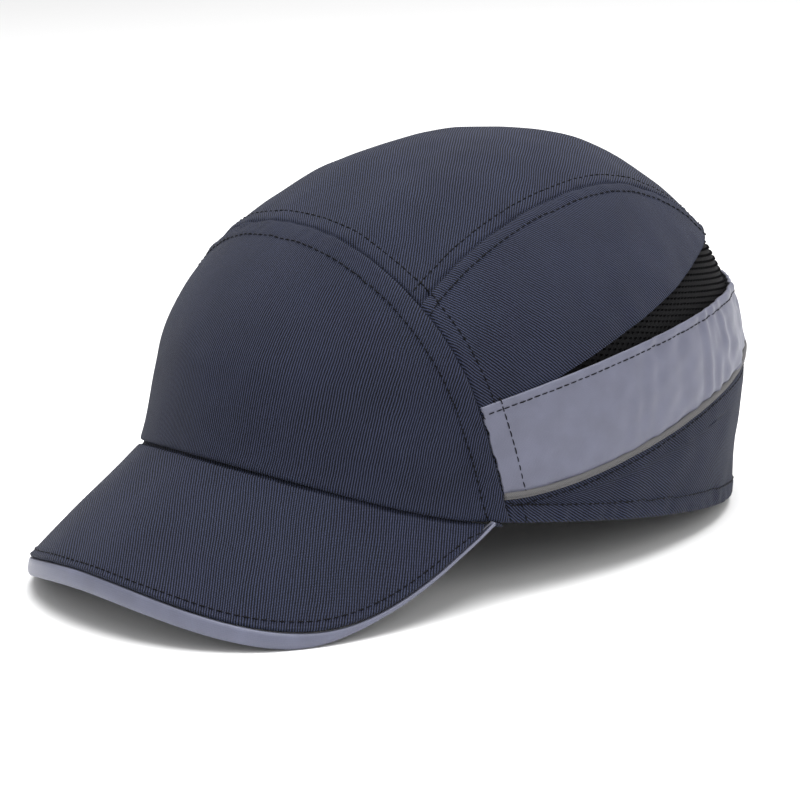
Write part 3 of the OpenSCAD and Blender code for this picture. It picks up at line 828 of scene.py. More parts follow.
def cut_size(even):
    """Width, length and area in metres of a flat pattern in millimetres."""
    wide, high = np.ptp(even[..., 0]) / 1000, np.ptp(even[..., 1]) / 1000
    a, b = even[1:, 1:] - even[:-1, :-1], even[1:, :-1] - even[:-1, 1:]
    area = np.abs(a[..., 0] * b[..., 1] - a[..., 1] * b[..., 0]).sum() / 2e6
    return (round(float(wide), 4), round(float(high), 4)), round(float(area), 6)


def first_v(line):
    """Latitude where a line starts."""
    return float(line(np.zeros(1))[0, 1])


def closing(low, high):
    """The line between the far ends of two lines."""
    return lambda t: mixed(low(np.ones(1)), high(np.ones(1)), t[:, None])


def beside_arch(foot_v, head_v, d):
    """The line a little behind the arch seam, d millimetres, between two latitudes."""
    def line(t):
        v = mixed(foot_v, head_v, t)
        return pairs(arch_u(v, d), v)
    return line


def both(place):
    """A patch and its twin, each with its side's name."""
    return ("left", place), ("right", flipped(place))


def seam_lift(p, edges):
    """How far the cloth stands off its plain shape: down into each seam, up over its allowance, and in at its
    stitches."""
    lift = np.zeros(p.shape[:-1])
    for line, kind, row in edges:
        e = distance(p, LINES[line])
        r, deep = {"seam": (1.7, 1.25), "tuck": (1.2, 0.9), "hem": (1.6, 1.1), "lap": (0.5, 0.35)}[kind]
        curl = 1 - np.clip(e, 0, r) / r
        lift -= deep * (1 - np.sqrt(np.maximum(0, 1 - curl ** 2)))
        if row:
            pucker = 1 + 0.45 * ripple(p, 7, 11)
            lift += 0.38 * (1 - smooth(e, row - 1.2, row + 1.6)) * pucker
            lift -= 0.34 * np.exp(-((e - row) / 0.75) ** 2)
        lift += 0.16 * ripple(p, 10, 5) * np.exp(-e / 7)
    return lift


def cloth(name, place, size, nodes, edges, material=navy_twill, turn=0.0, depth=0.0, thick=CLOTH_T, waves=0.3,
          step=1.7, extra=None):
    """A cut piece of cloth on the cap, shaped by its seams; turn is the slant of its ribs."""
    s, t = spaced(size[0], step), spaced(size[1], step)
    base = skin(*np.moveaxis(place(s, t), -1, 0))
    out = normals(base)
    lift = seam_lift(base, edges) + waves * ripple(base, 42) + 0.35 * waves * ripple(base, 17, 8)
    if extra is not None:
        lift = lift + extra(base)
    outer = base + out * (lift - depth)[..., None]
    inner = outer - out * thick
    coarse = skin(*np.moveaxis(place(np.linspace(0, 1, 25), np.linspace(0, 1, 17)), -1, 0))
    even = flattened(coarse)
    c, k = math.cos(math.radians(turn)), math.sin(math.radians(turn))
    cut = looked_up(even, s, t)
    cut = np.stack([cut[..., 0] * c - cut[..., 1] * k, cut[..., 0] * k + cut[..., 1] * c], -1)
    piece = plate(name, outer, inner, "cap", material, nodes, cut)
    flat, area = cut_size(even)


# ---- The crown's cloth panels ----

# How far panels run past their seam lines, so that no gap shows; negative is forward, as behind the arch.
LAP = -0.3
# The bands start this far behind the arch, and both halves end just past the middle of the back.
BAND_BEHIND = 0.3
BAND_END_U, LOWER_END_U = 180.1, 180.2
# How far each row of stitches lies from its seam or edge.
FRONT_ROW, ARCH_ROW, CROWN_ROW, BACK_ROW = 8.5, 6.0, 5.0, 4.5
BAND_ROW, BAND_END_ROW, RIM_ROW, LOWER_ROW, BINDING_ROW = 3.2, 8.0, 7.0, 4.6, 4.7
BRIM_ROW, BRIM_UNDER_ROW, SWEATBAND_ROW = 1.3, 8.5, 4.2
arch_foot_u, arch_top_u = float(arch_u(-WALL_DEG, -LAP)), float(arch_u(ARCH_SPLIT, -LAP))


def front_low(t):
    u = arch_foot_u * (2 * t - 1)
    return pairs(u, rim_v(u))


def front_high(t):
    u = arch_top_u * (2 * t - 1)
    return pairs(u, arch_v(np.abs(u), -LAP))


front_end = beside_arch(-WALL_DEG, ARCH_SPLIT, -LAP)


def front_fold(p):
    """The stiffened front stands a little fuller over the brim."""
    over_brim = 0.7 * np.exp(-(distance(p, LINES["brim_root"]) / 5) ** 2)
    return 0.5 * np.exp(-((p[..., 2] - 30) / 22) ** 2) * smooth(-p[..., 1], 60, 120) + over_brim


cloth("front_panel_cloth", patch(front_low, front_high, lambda t: front_end(t) * [-1, 1], front_end), (190, 120),
      ["front_panel"], [("arch", "seam", FRONT_ROW), ("brim_root", "tuck", 0)], extra=front_fold, waves=0.22)


def crown_place(s, t):
    across_s = 2 * s[None] - 1
    begin = panel_start(2 * s - 1, LAP)
    end = panel_end(2 * s - 1, CROWN_PANEL_REAR_Z + LAP)
    a = mixed(begin[None], end[None], t[:, None])
    return pairs(*over(a, across_s * (crown_seam_x(a) - LAP)))


cloth("crown_panel_cloth", crown_place, (108, 245), ["crown_panel"],
      [("arch", "seam", ARCH_ROW), ("crown_left", "seam", CROWN_ROW), ("crown_right", "seam", CROWN_ROW),
       ("crown_back", "lap", BACK_ROW)],
      turn=-44, waves=0.35)

side_from_u = float(arch_u(v_at(band_top_u, BAND_TOP_FRONT), LAP))
side_a0, side_a1 = float(panel_start(1, LAP)), float(panel_end(1, CROWN_PANEL_REAR_Z + 1))


def side_low_z(u):
    """Along the mesh's top, and tucked under the band ahead of the mesh."""
    z = np.where(u < MESH_START, band_top_z(u), mesh_top_z(u)) + LAP
    return z - 2.7 * (1 - smooth(u, MESH_START - 10, MESH_START + 6))


def side_high(t):
    return pairs(*crown_seam(mixed(side_a0, side_a1, t), LAP))


side_low = level(side_from_u, side_corner_u - 2, side_low_z)
side_place = patch(side_low, side_high, beside_arch(first_v(side_low), first_v(side_high), LAP),
                   closing(side_low, side_high))
for (side, place), turn in zip(both(side_place), (-26, 26)):
    cloth(f"side_panel_cloth_{side}", place, (165, 75), [f"side_panel_{side}"],
          [("arch", "seam", ARCH_ROW), (f"crown_{side}", "seam", CROWN_ROW), (f"mesh_{side}", "lap", 0)],
          turn=turn, waves=0.4)

lower_drop = 2 * PIPING_R + 0.2
lower_foot_u = float(arch_u(-WALL_DEG, LAP))
lower_top_u = float(arch_u(v_at(band_low_u, BAND_LOW_FRONT - lower_drop), LAP))
rise = np.stack(opening_edge(np.linspace(0, 90, 31)), -1)
rise[:, 0] = np.minimum(rise[:, 0], 180)
lower_high = level(lower_top_u, LOWER_END_U, lambda u: band_low_z(u) - lower_drop)
lower_end_points = np.concatenate([rise, mixed(rise[-1:], lower_high(np.ones(1)), np.linspace(0, 1, 11)[1:, None])])
lower_place = patch(lambda t: pairs(mixed(lower_foot_u, rise[0, 0], t), -WALL_DEG), lower_high,
                    beside_arch(-WALL_DEG, first_v(lower_high), LAP), through(lower_end_points))
for (side, place), turn in zip(both(lower_place), (-50, 50)):
    cloth(f"lower_panel_cloth_{side}", place, (250, 60), [f"lower_panel_{side}"],
          [("arch", "seam", ARCH_ROW), (f"band_low_{side}", "tuck", 0), (f"opening_{side}", "tuck", 0),
           (f"rim_{side}", "hem", RIM_ROW)], turn=turn, waves=0.45)

# ---- Reflective bands, laid over the seam between side panel and mesh ----


def band_creases(p):
    """Soft upright creases, deeper towards the rear where the band goes round."""
    back = smooth(p[..., 1], -40, 60)
    bearing = np.degrees(np.arctan2(np.abs(p[..., 0]), -p[..., 1]))
    crease = np.sin(bearing * 0.92 + 2.2 * np.sin(bearing * 0.21) + p[..., 2] * 0.06)
    sharp = np.sign(crease) * np.abs(crease) ** 1.4
    return 0.15 + back * 0.55 * sharp * (0.6 + 0.4 * ripple(p, 18, 21)) + 0.18 * ripple(p, 9, 9) * (0.4 + back)


band_head_u = float(arch_u(v_at(band_top_u, BAND_TOP_FRONT), BAND_BEHIND))
band_foot_u = float(arch_u(v_at(band_low_u, BAND_LOW_FRONT), BAND_BEHIND))
band_low = level(band_foot_u, BAND_END_U, lambda u: band_low_z(u) - 0.6)
band_high = level(band_head_u, BAND_END_U, band_top_z)
band_foot_v, band_head_v = first_v(band_low), first_v(band_high)


def band_start(t):
    v = mixed(band_foot_v, band_head_v, t)
    frayed = 0.22 * np.sin(v * 9.1) * np.sin(v * 3.7 + 1) + 0.1 * np.sin(v * 23.0)
    return pairs(arch_u(v, BAND_BEHIND) + frayed, v)


for side, place in both(patch(band_low, band_high, band_start, closing(band_low, band_high))):
    cloth(f"reflective_band_tape_{side}", place, (240, 26), [f"reflective_band_{side}"],
          [(f"band_top_{side}", "lap", BAND_ROW), (f"band_low_{side}", "tuck", 0)], material=silver_tape, depth=-0.35,
          thick=0.9, waves=0.25, extra=band_creases, step=1.5)

# ---- Piping: a corded edge between band and lower panel ----


def tube(name, points, r, material, nodes, sides=12):
    """Round cord along a line."""
    along = unit(np.gradient(points, axis=0))
    beside = unit(np.cross(along, [0, 0, 1.0]))
    up = np.cross(beside, along)
    a = np.linspace(0, 2 * math.pi, sides, endpoint=False)
    ring = r * (np.cos(a)[None, :, None] * beside[:, None] + np.sin(a)[None, :, None] * up[:, None])
    swept(name, points[:, None] + ring, run(points), a * r, "cap", material, nodes)


piping_from = float(arch_u(v_at(band_low_u, BAND_LOW_FRONT), 0.5))
piping_line = on_skin(level(piping_from, 180.0, lambda u: band_low_z(u) - PIPING_R - 0.1), 260)
for side, line in (("left", piping_line), ("right", piping_line * [-1, 1, 1])):
    line = line * (1 + 0.0012 * ripple(line, 13, 31)[:, None])
    if side == "right":
        line = line[::-1]
    tube(f"piping_cord_{side}", line, PIPING_R, grey_piping, [f"piping_{side}"])


# ---- Binding round the rear opening: a folded strip with a full round edge ----


def strip(name, line, out, across, section, body, material, nodes):
    """A strip along a line of points; section lists the (across, out) places of its outline."""
    rings = line[:, None] + across[:, None] * section[None, :, :1] + out[:, None] * section[None, :, 1:]
    swept(name, rings, run(line), run(section), body, material, nodes)


def loop_section(w, t, corner=4):
    """Outline of a band w wide and t thick with rounded sides, anticlockwise."""
    a = np.radians(np.linspace(-90, 90, corner + 3))
    right = np.stack([w / 2 - t / 2 + t / 2 * np.cos(a), t / 2 * np.sin(a)], -1)
    flat = np.linspace(w / 2 - t / 2, -w / 2 + t / 2, 5)[1:-1]
    top = np.stack([flat, np.full(3, t / 2)], -1)
    return np.concatenate([right, top, -right, -top])


def skin_out(u, v):
    """Outward direction of the cap's skin."""
    right = skin(u + 0.2, v) - skin(u - 0.2, v)
    up = skin(u, v + 0.2) - skin(u, v - 0.2)
    return unit(np.cross(right, up))


opening_f = np.linspace(0, 90, 46)
half_u, half_v = opening_edge(opening_f, BINDING_W / 2 - 0.2)
whole_u = np.concatenate([half_u, 360 - half_u[-2::-1]])
whole_v = np.concatenate([half_v, half_v[-2::-1]])
binding_line = skin(whole_u, whole_v)
binding_out = skin_out(whole_u, whole_v)
binding_across = unit(np.cross(np.gradient(binding_line, axis=0), binding_out))
strip("opening_binding_tape", binding_line - binding_out * 0.5, binding_out, binding_across,
      loop_section(BINDING_W + 0.8, 2.1), "cap", navy_binding, ["opening_binding"])

# ---- Perforated mesh between band and side panels ----


class Nodes(Graph):
    """A Geometry Nodes tree with named inputs, put on a piece and made a plain mesh."""

    def __init__(self, name, **sizes):
        tree = bpy.data.node_groups.new(name, "GeometryNodeTree")
        super().__init__(tree)
        tree.interface.new_socket("Geometry", in_out="INPUT", socket_type="NodeSocketGeometry")
        tree.interface.new_socket("Geometry", in_out="OUTPUT", socket_type="NodeSocketGeometry")
        for key, value in sizes.items():
            kind = "NodeSocketInt" if isinstance(value, int) else "NodeSocketFloat"
            tree.interface.new_socket(key, in_out="INPUT", socket_type=kind).default_value = value
        self.inputs = self.node("NodeGroupInput")
        self.sizes = sizes

    def end(self, geometry, material):
        real = self.node("GeometryNodeRealizeInstances", {}, {0: geometry})[0]
        painted = self.node("GeometryNodeSetMaterial", {}, {"Geometry": real, "Material": material})[0]
        self.node("NodeGroupOutput", {}, {0: painted})

    def wires(self, points, way, ends, detail, radius, sizes, material):
        """End with a bent wire at each point, standing along the point's up and lying along a way."""
        arc = self.node("GeometryNodeCurveQuadraticBezier", {},
                        {"Resolution": detail[0], "Start": ends[0], "Middle": ends[1], "End": ends[2]})[0]
        profile = self.node("GeometryNodeCurvePrimitiveCircle", {}, {"Resolution": detail[1], "Radius": radius})[0]
        wire = self.node("GeometryNodeCurveToMesh", {},
                         {"Curve": arc, "Profile Curve": profile, "Fill Caps": True})[0]
        up = self.node("GeometryNodeInputNamedAttribute", {"data_type": "FLOAT_VECTOR"}, {"Name": "up"})[0]
        turn = self.node("FunctionNodeAxesToRotation", {"primary_axis": "Z", "secondary_axis": "X"},
                         {0: up, 1: way})[0]
        size = self.node("FunctionNodeRandomValue", {"data_type": "FLOAT"},
                         {2: sizes[0], 3: sizes[1], "Seed": self.inputs["Seed"]})[1]
        self.end(self.node("GeometryNodeInstanceOnPoints", {}, {
            "Points": points, "Instance": wire, "Rotation": turn, "Scale": size})[0], material)

    def applied(self, piece, material):
        """The piece with this tree worked out, as a plain mesh with one material."""
        modifier = piece.modifiers.new("made", "NODES")
        modifier.node_group = self.tree
        for item in self.tree.interface.items_tree:
            if item.in_out == "INPUT" and item.name in self.sizes:
                modifier[item.identifier] = self.sizes[item.name]
        bpy.context.view_layer.update()
        depsgraph = bpy.context.evaluated_depsgraph_get()
        mesh = bpy.data.meshes.new_from_object(piece.evaluated_get(depsgraph), depsgraph=depsgraph)
        piece.modifiers.remove(modifier)
        old = piece.data
        piece.data = mesh
        mesh.name = piece.name
        bpy.data.meshes.remove(old)
        mesh.materials.clear()
        mesh.materials.append(material)


def bare(name, points, edges, faces=(), ups=None):
    """A mesh in the frame's metres, not yet a finished piece; ups are directions for its points."""
    mesh = bpy.data.meshes.new(name)
    mesh.from_pydata(np.asarray(points).tolist(), edges, faces)
    if ups is not None:
        stored = mesh.attributes.new("up", "FLOAT_VECTOR", "POINT")
        stored.data.foreach_set("vector", np.asarray(ups, dtype=np.float32).ravel())
    return placed(name, mesh)


# The net is a lattice of holes between two heights, trimmed to run a little under the band and the side panel.
HOLE_PITCH = 2.3
ROW_PITCH = HOLE_PITCH * 0.866
NET_LOW_Z, NET_TALL = 44, 70
NET_UNDER_BAND, NET_UNDER_SIDE = 3.4, 3.0
MM_PER_DEG = 1.7
mesh_u = np.arange(MESH_START - 3, 360 - MESH_START + 3.01, 0.5)
mesh_belt = skin(mesh_u, v_at(mesh_u, 78))
belt = run(mesh_belt)
lattice = []
columns, rows = int(belt[-1] / HOLE_PITCH), int(NET_TALL / ROW_PITCH)
for j in range(rows + 1):
    z = NET_LOW_Z + j * ROW_PITCH
    for i in range(columns + 1):
        lattice.append((np.interp((i + 0.5 * (j % 2)) * HOLE_PITCH, belt, mesh_u), z))
lattice = np.array(lattice)
beside_u = 180 - np.abs(lattice[:, 0] - 180)
inside = ((lattice[:, 1] > band_top_z(beside_u) - NET_UNDER_BAND)
          & (lattice[:, 1] < mesh_top_z(beside_u) + NET_UNDER_SIDE))
mesh_faces = []
for j in range(rows):
    for i in range(columns):
        a, b = j * (columns + 1) + i, j * (columns + 1) + i + 1
        c, d = a + columns + 1, b + columns + 1
        for face in ([(a, b, c), (b, d, c)] if j % 2 == 0 else [(a, d, c), (a, b, d)]):
            if inside[list(face)].all():
                mesh_faces.append(face)
used = np.unique(np.array(mesh_faces))
order = np.full(len(lattice), -1)
order[used] = np.arange(len(used))
mesh_places = lattice[used]
mesh_v = v_at(mesh_places[:, 0], mesh_places[:, 1])
mesh_points = skin(mesh_places[:, 0], mesh_v)
mesh_points = mesh_points + skin_out(mesh_places[:, 0], mesh_v) * (-1.0 + 0.25 * ripple(mesh_points, 30, 14))[:, None]
mesh_piece = bare("rear_mesh_net", standing(mesh_points), [], order[np.array(mesh_faces)].tolist())
net = Nodes("perforated_net", Hole=0.3, Thickness=0.0007)
cells = net.node("GeometryNodeDualMesh", {}, {"Mesh": net.inputs["Geometry"]})[0]
thick = net.node("GeometryNodeExtrudeMesh", {"mode": "FACES"},
                 {"Mesh": cells, "Offset Scale": 0.0, "Individual": True})
holes = net.node("GeometryNodeScaleElements", {"domain": "FACE"},
                 {"Geometry": thick["Mesh"], "Selection": thick["Top"], "Scale": net.inputs["Hole"]})[0]
open_net = net.node("GeometryNodeDeleteGeometry", {"domain": "FACE"},
                    {"Geometry": holes, "Selection": thick["Top"]})[0]
solid = net.node("GeometryNodeExtrudeMesh", {"mode": "FACES"},
                 {"Mesh": open_net, "Offset Scale": net.inputs["Thickness"] * -1.0, "Individual": False})["Mesh"]
net.end(net.node("GeometryNodeSetShadeSmooth", {}, {0: solid, 2: False})[0], black_mesh)
net.applied(mesh_piece, black_mesh)
net_at = np.empty(len(mesh_piece.data.vertices) * 3, dtype=np.float32)
mesh_piece.data.vertices.foreach_get("co", net_at)
net_at = net_at.reshape(-1, 3) * 1000
bearing = np.degrees(np.arctan2(net_at[:, 0], -net_at[:, 1]))
patterned(mesh_piece.data, np.stack([bearing * MM_PER_DEG, net_at[:, 2]], -1))
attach(mesh_piece, "cap")
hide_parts("rear_mesh")
strip_u = np.linspace(MESH_START - 3, 360 - MESH_START + 3, 81)
strip_low, strip_high = (f(180 - np.abs(strip_u - 180)) + d for f, d in
                         ((band_top_z, -NET_UNDER_BAND), (mesh_top_z, NET_UNDER_SIDE)))
strip_z = mixed(strip_low[None], strip_high[None], np.linspace(0, 1, 9)[:, None])
mesh_flat, mesh_area = cut_size(flattened(skin(strip_u[None], v_at(strip_u[None] + 0 * strip_z, strip_z))))

# ---- Brim: cloth over a stiff board, with a reflective band round its edge ----

brim_s = np.sin(np.linspace(-90, 90, 221) * math.pi / 180) * 0.975
brim_t = np.concatenate([[-0.06, 0.0, 0.02, 0.045], np.linspace(0.08, 0.9, 34), 1 - np.array(
    [0.085, 0.072, 0.06, 0.048, 0.036, 0.026, 0.017, 0.01, 0.005, 0.0])])
brim_line = respaced(brim_point(np.linspace(-0.985, 0.985, 400), 1.0))
brim_tuck = 1 - smooth(np.abs(brim_s), 0.8, 0.96)
brim_down = brim_t[::-1, None] * np.where(brim_t[::-1, None] < 0, brim_tuck[None], 1)
brim_top = brim_point(brim_s[None], brim_down)
brim_out, from_edge, from_root = brim_up(brim_top), distance(brim_top, brim_line), distance(brim_top, brim_root)
width_left = smooth(from_edge + from_root, 4.0, 14.0)
top_lift = width_left * (-1.1 * (1 - np.sqrt(np.maximum(0, 1 - (1 - np.clip(from_edge, 0, 1.0) / 1.0) ** 2)))
                         + 0.35 * (1 - smooth(from_edge, 1.4, 2.6)) - 0.3 * np.exp(-((from_edge - 1.5) / 0.5) ** 2)
                         - 1.3 * (1 - smooth(from_root, 0.2, 2.4)) + 0.22 * ripple(brim_top, 34, 41))
brim_outer = brim_top + brim_out * top_lift[..., None]
brim_inner = brim_top - brim_out * (CLOTH_T + 0.6)
brim_inner[:2] = brim_inner[2] * 0.5 + brim_inner[:2] * 0.5
brim_plan = np.stack([0.67 * brim_top[..., 0] + 0.74 * brim_top[..., 1],
                      0.74 * brim_top[..., 0] - 0.67 * brim_top[..., 1]], -1)
brim_cloth = plate("brim_cloth", brim_outer, brim_inner, "cap", navy_twill, ["brim_top_cover"], brim_plan)
brim_rows = brim_top[np.r_[0:len(brim_top) - 1:2, len(brim_top) - 1], ::5]
brim_flat, brim_area = cut_size(flattened(brim_rows, unrolled(brim_rows)))
under_depth = CLOTH_T + BOARD_T + 0.9
under_top = brim_point(brim_s[None, :] * 0.97, np.linspace(1.0, 0.0, 30)[:, None], 2.0)
under_row = (distance(under_top, brim_line) - BRIM_UNDER_ROW) / 0.8
under_lift = 0.15 * ripple(under_top, 22, 43) - 0.25 * np.exp(-under_row ** 2)
under_a = under_top - brim_up(under_top) * (under_depth - under_lift)[..., None]
under_b = under_top - brim_up(under_top) * (under_depth + CLOTH_T - under_lift)[..., None]
under_cloth = plate("brim_under_cloth", under_a, under_b, "cap", navy_lining, ["brim_under_cover"],
                    np.stack([under_top[..., 0], under_top[..., 1] * 1.28], -1))
under_flat, under_area = cut_size(flattened(under_top[:, ::5], unrolled(under_top[:, ::5])))

trim_s = np.sin(np.linspace(-90, 90, 241) * math.pi / 180) * 0.99
trim_edge = brim_point(trim_s, 1.0)
trim_way = unit(np.gradient(trim_edge, axis=0))
trim_out = unit(np.cross(trim_way, [0, 0, 1.0]))
trim_h = trim_height(trim_s) * (1 - 0.66 * smooth(np.abs(trim_s), 0.62, 0.86))
trim_outline = [(-2.4, 1.1), (-1.0, 1.2), (-0.35, 0.75), (0.0, 0.0), (0.28, -0.25), (0.4, -0.5), (0.32, -0.72),
                (0.05, -0.9), (-0.45, -1.0), (-1.2, -1.0), (-1.9, -0.86), (-2.4, -0.3)]
trim_rings = []
for place, fall in trim_outline:
    drop = np.where(fall > 0, -fall * 0.2, -fall * trim_h)
    ring = trim_edge + trim_out * np.where(fall < -0.1, place * np.minimum(1, trim_h / 4), place)[:, None]
    ring[:, 2] -= CLOTH_T + 0.05 + drop
    trim_rings.append(ring)
trim_points = np.stack(trim_rings, 1)
trim_points += trim_out[:, None] * (0.08 * ripple(trim_points, 16, 47))[..., None]
swept("brim_edge_band", trim_points, run(trim_edge), np.arange(len(trim_outline)) * 0.9, "cap", silver_trim,
      ["brim_edge_trim"], turn=False)

# ---- Inside: sweatband and the tapes over the seams ----

band_u = np.linspace(-SWEATBAND_END, SWEATBAND_END, 330)
band_t = np.array([0, 0.02, 0.05, 0.1, 0.16, 0.25, 0.36, 0.5, 0.64, 0.75, 0.84, 0.9, 0.95, 0.98, 1.0])
sweat_low = rim_v(band_u) + 0.3
sweat_v = sweat_low[None] + WALL_DEG * SWEATBAND_H / WALL_H * band_t[:, None]
sweat_top = skin(band_u[None], sweat_v)
sweat_out = normals(sweat_top)
edge = np.minimum(band_t, 1 - band_t)[:, None] * SWEATBAND_H
full = np.sqrt(np.maximum(0, 1 - (1 - np.clip(edge, 0, 3.5) / 3.5) ** 2))
stitched = np.exp(-((edge - SWEATBAND_ROW) / 1.0) ** 2)
pillow = SWEATBAND_T * (0.22 + 0.78 * full) * (1 - 0.38 * stitched) + 0.35 * ripple(sweat_top, 9, 51) * full
outer_face = sweat_top - sweat_out * (LINING_DEPTH + 0.1)
inner_face = sweat_top - sweat_out * (LINING_DEPTH + 0.1 + pillow)[..., None]
sweat_plan = pairs(run(sweat_top[len(band_t) // 2])[None], band_t[:, None] * SWEATBAND_H)
sweat_piece = plate("sweatband_padding", outer_face, inner_face, "cap", sweat_cloth, ["sweatband"], sweat_plan)

tape_from_v = float(v_at(50, SWEATBAND_H + 3))


def tape_line(d):
    v = np.linspace(tape_from_v, ARCH_SPLIT, 40)
    up = np.stack([arch_u(v, d), v], -1)
    u = np.linspace(-0.86, 0.86, 80) * up[-1, 0]
    return np.concatenate([up * [-1, 1], np.stack([u, arch_v(np.abs(u), d)], -1), up[::-1]])


arch_front, arch_rear = tape_line(-TAPE_W / 2), tape_line(TAPE_W / 2)


def between(front, rear):
    a, b = through(front), through(rear)
    return lambda s, t: mixed(a(s)[None], b(s)[None], t[:, None, None])


cloth("arch_seam_tape", between(arch_front, arch_rear), (400, TAPE_W), ["arch_tape"], [], lining_tape, thick=TAPE_T,
      depth=LINING_DEPTH + 0.05, waves=0.0, step=2.4)
tape_a = np.linspace(float(panel_start(1, TAPE_W / 2 + 5.5)), float(panel_end(1, CROWN_PANEL_REAR_Z + 1)), 60)
crown_tape_edges = [np.stack(crown_seam(tape_a, e), -1) for e in (TAPE_W / 2, -TAPE_W / 2)]
for side, place in both(between(*crown_tape_edges)):
    cloth(f"crown_seam_tape_{side}", place, (210, TAPE_W), [f"crown_tape_{side}"], [], lining_tape, thick=TAPE_T,
          depth=LINING_DEPTH + 0.05, waves=0.0, step=2.4)

# ---- Adjuster strap, its buckle and its loose tail ----


def rear_plan(x, depth):
    v = v_at(180, STRAP_Z)
    u = rear_u(np.abs(x), v)
    here, beside = skin(u, v), skin(u - 0.5, v)
    along = unit(beside[..., :2] - here[..., :2])
    place = here[..., :2] - depth[..., None] * np.stack([-along[..., 1], along[..., 0]], -1)
    return np.stack([np.where(x < 0, -place[..., 0], place[..., 0]), place[..., 1]], -1)


def spot(x, depth):
    return rear_plan(np.array([float(x)]), np.array([float(depth)]))[0]


strap_bar, tab_bar = spot(STRAP_BAR_X, BAR_DEPTH), spot(STRAP_BAR_X - BAR_PITCH, BAR_DEPTH)
EYE_R = BAR_R + BAR_PLAY + STRAP_T


def on_edge(name, plan, section, body, material, nodes):
    """A strip on edge along a line in plan, at the strap's height."""
    way = unit(np.gradient(plan, axis=0))
    count = len(plan)
    line = np.concatenate([plan, np.full((count, 1), STRAP_Z)], -1)
    out = np.concatenate([way[:, 1:], -way[:, :1], np.zeros((count, 1))], -1)
    strip(name, line, out, np.tile([0.0, 0.0, 1.0], (count, 1)), section, body, material, nodes)
    return line


def strap_piece(name, plan, body, nodes):
    """Webbing with rounded selvedges."""
    on_edge(name, respaced(plan, 0.7), loop_section(STRAP_W, STRAP_T), body, navy_webbing, nodes)


def webbing_line(x0, x1, depth, n=60):
    return rear_plan(np.linspace(x0, x1, n), np.full(n, depth))


def eye_arc(centre, start, end, r=BAR_R + BAR_PLAY + STRAP_T / 2):
    a = np.radians(np.linspace(start, end, 30))
    return centre + r * np.stack([np.cos(a), np.sin(a)], -1)


STRAP_PAST_OPENING = 9
strap_depth = LINING_DEPTH + STRAP_T / 2
strap_run = webbing_line(strap_bar[0] + EYE_R + 0.4, OPENING_HALF_W + STRAP_PAST_OPENING, strap_depth)
strap_piece("adjuster_webbing", strap_run, "cap", ["adjuster_strap"])
tab_run = webbing_line(-OPENING_HALF_W - STRAP_PAST_OPENING, tab_bar[0] - BAR_R - BAR_PLAY - 1.2, strap_depth)
strap_piece("buckle_tab_webbing", np.concatenate([tab_run, eye_arc(tab_bar, -98, 160)]), "cap", ["buckle_tab"])
tail_run = webbing_line(strap_bar[0] + BAR_R + BAR_PLAY + 1.0, strap_bar[0] + TAIL_L,
                        BAR_DEPTH - EYE_R + 0.1 + STRAP_T / 2)
strap_piece("strap_tail_webbing", np.concatenate([eye_arc(strap_bar, -30, -270), tail_run]), "tail", ["strap_tail"])

HOOKS_FROM_END, HOOKS_TO_END = 28, 3
hook_back = webbing_line(strap_bar[0] + TAIL_L - HOOKS_FROM_END, strap_bar[0] + TAIL_L - HOOKS_TO_END,
                         BAR_DEPTH - EYE_R + 0.2 + STRAP_T + 0.3, 26)
hook_line = on_edge("hook_tape_backing", hook_back, loop_section(STRAP_W - 2, 0.7), "tail", hook_tape, ["hook_patch"])

HOOK = Nodes("hooks", Wire=0.00013, Height=0.00105, Seed=9)
hook_tall = HOOK.inputs["Height"]
hook_ends = HOOK.at(), HOOK.at(0.00005, z=hook_tall * 1.9), HOOK.at(0.00065, z=hook_tall * 0.45)
HOOK.wires(HOOK.inputs["Geometry"], (0.0, 0.0, -1.0), hook_ends, (6, 4), HOOK.inputs["Wire"], (0.85, 1.05), hook_tape)
hook_rows = np.linspace(-(STRAP_W - 5) / 2, (STRAP_W - 5) / 2, 11)
hook_base = respaced(hook_line, 1.4)[1:-1]
hook_side = unit(np.gradient(hook_base, axis=0))
hook_inward = -np.stack([hook_side[:, 1], -hook_side[:, 0], np.zeros(len(hook_side))], -1)
hook_points = (hook_base + hook_inward * 0.3)[:, None] + hook_rows[None, :, None] * np.array([0, 0, 1.0])
hook_pile = bare("hook_pile", standing(hook_points.reshape(-1, 3)), [],
                 ups=turned(np.repeat(hook_inward, len(hook_rows), axis=0)))
HOOK.applied(hook_pile, hook_tape)
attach(hook_pile, "tail")

for node, material in (("buckle", buckle_plastic), ("brim_board", board_plastic)):
    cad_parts[node].data.materials.clear()
    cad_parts[node].data.materials.append(material)

# ---- Protective insert: ribbed hard shell and foam pads ----


def shell_low_v(u):
    rear = np.maximum(0, (np.abs(u) - 120) / 60) ** 1.5
    return v_at(u, SHELL_LOW_Z + SHELL_REAR_RISE * np.minimum(1, rear * 1.6))


shell_u = np.linspace(-180, 180, 241)[:-1]
shell_t = np.concatenate([[0, 0.006, 0.014, 0.024, 0.036], np.linspace(0.05, 1, 66)])
shell_grid_v = mixed(shell_low_v(shell_u)[None], 88.0, shell_t[:, None])
shell_top = skin(shell_u[None], shell_grid_v)
ring = np.concatenate([shell_top[:, -1:], shell_top, shell_top[:, :1]], 1)
shell_normal = normals(ring)[:, 1:-1]
lateral = np.abs(np.sin(np.radians(shell_u))[None] * np.cos(np.radians(np.maximum(shell_grid_v, 0))))
rib_mask = np.zeros_like(lateral)
for middle in (0.0, 0.24, 0.48):
    rib_mask = np.maximum(rib_mask, np.exp(-((lateral - middle) / 0.035) ** 4))
rib_mask *= smooth(shell_grid_v, 24, 34)
round_edge = 1 - np.sqrt(np.maximum(0, 1 - (1 - np.clip(norm(shell_top - shell_top[:1])[..., 0], 0, 1.2) / 1.2) ** 2))
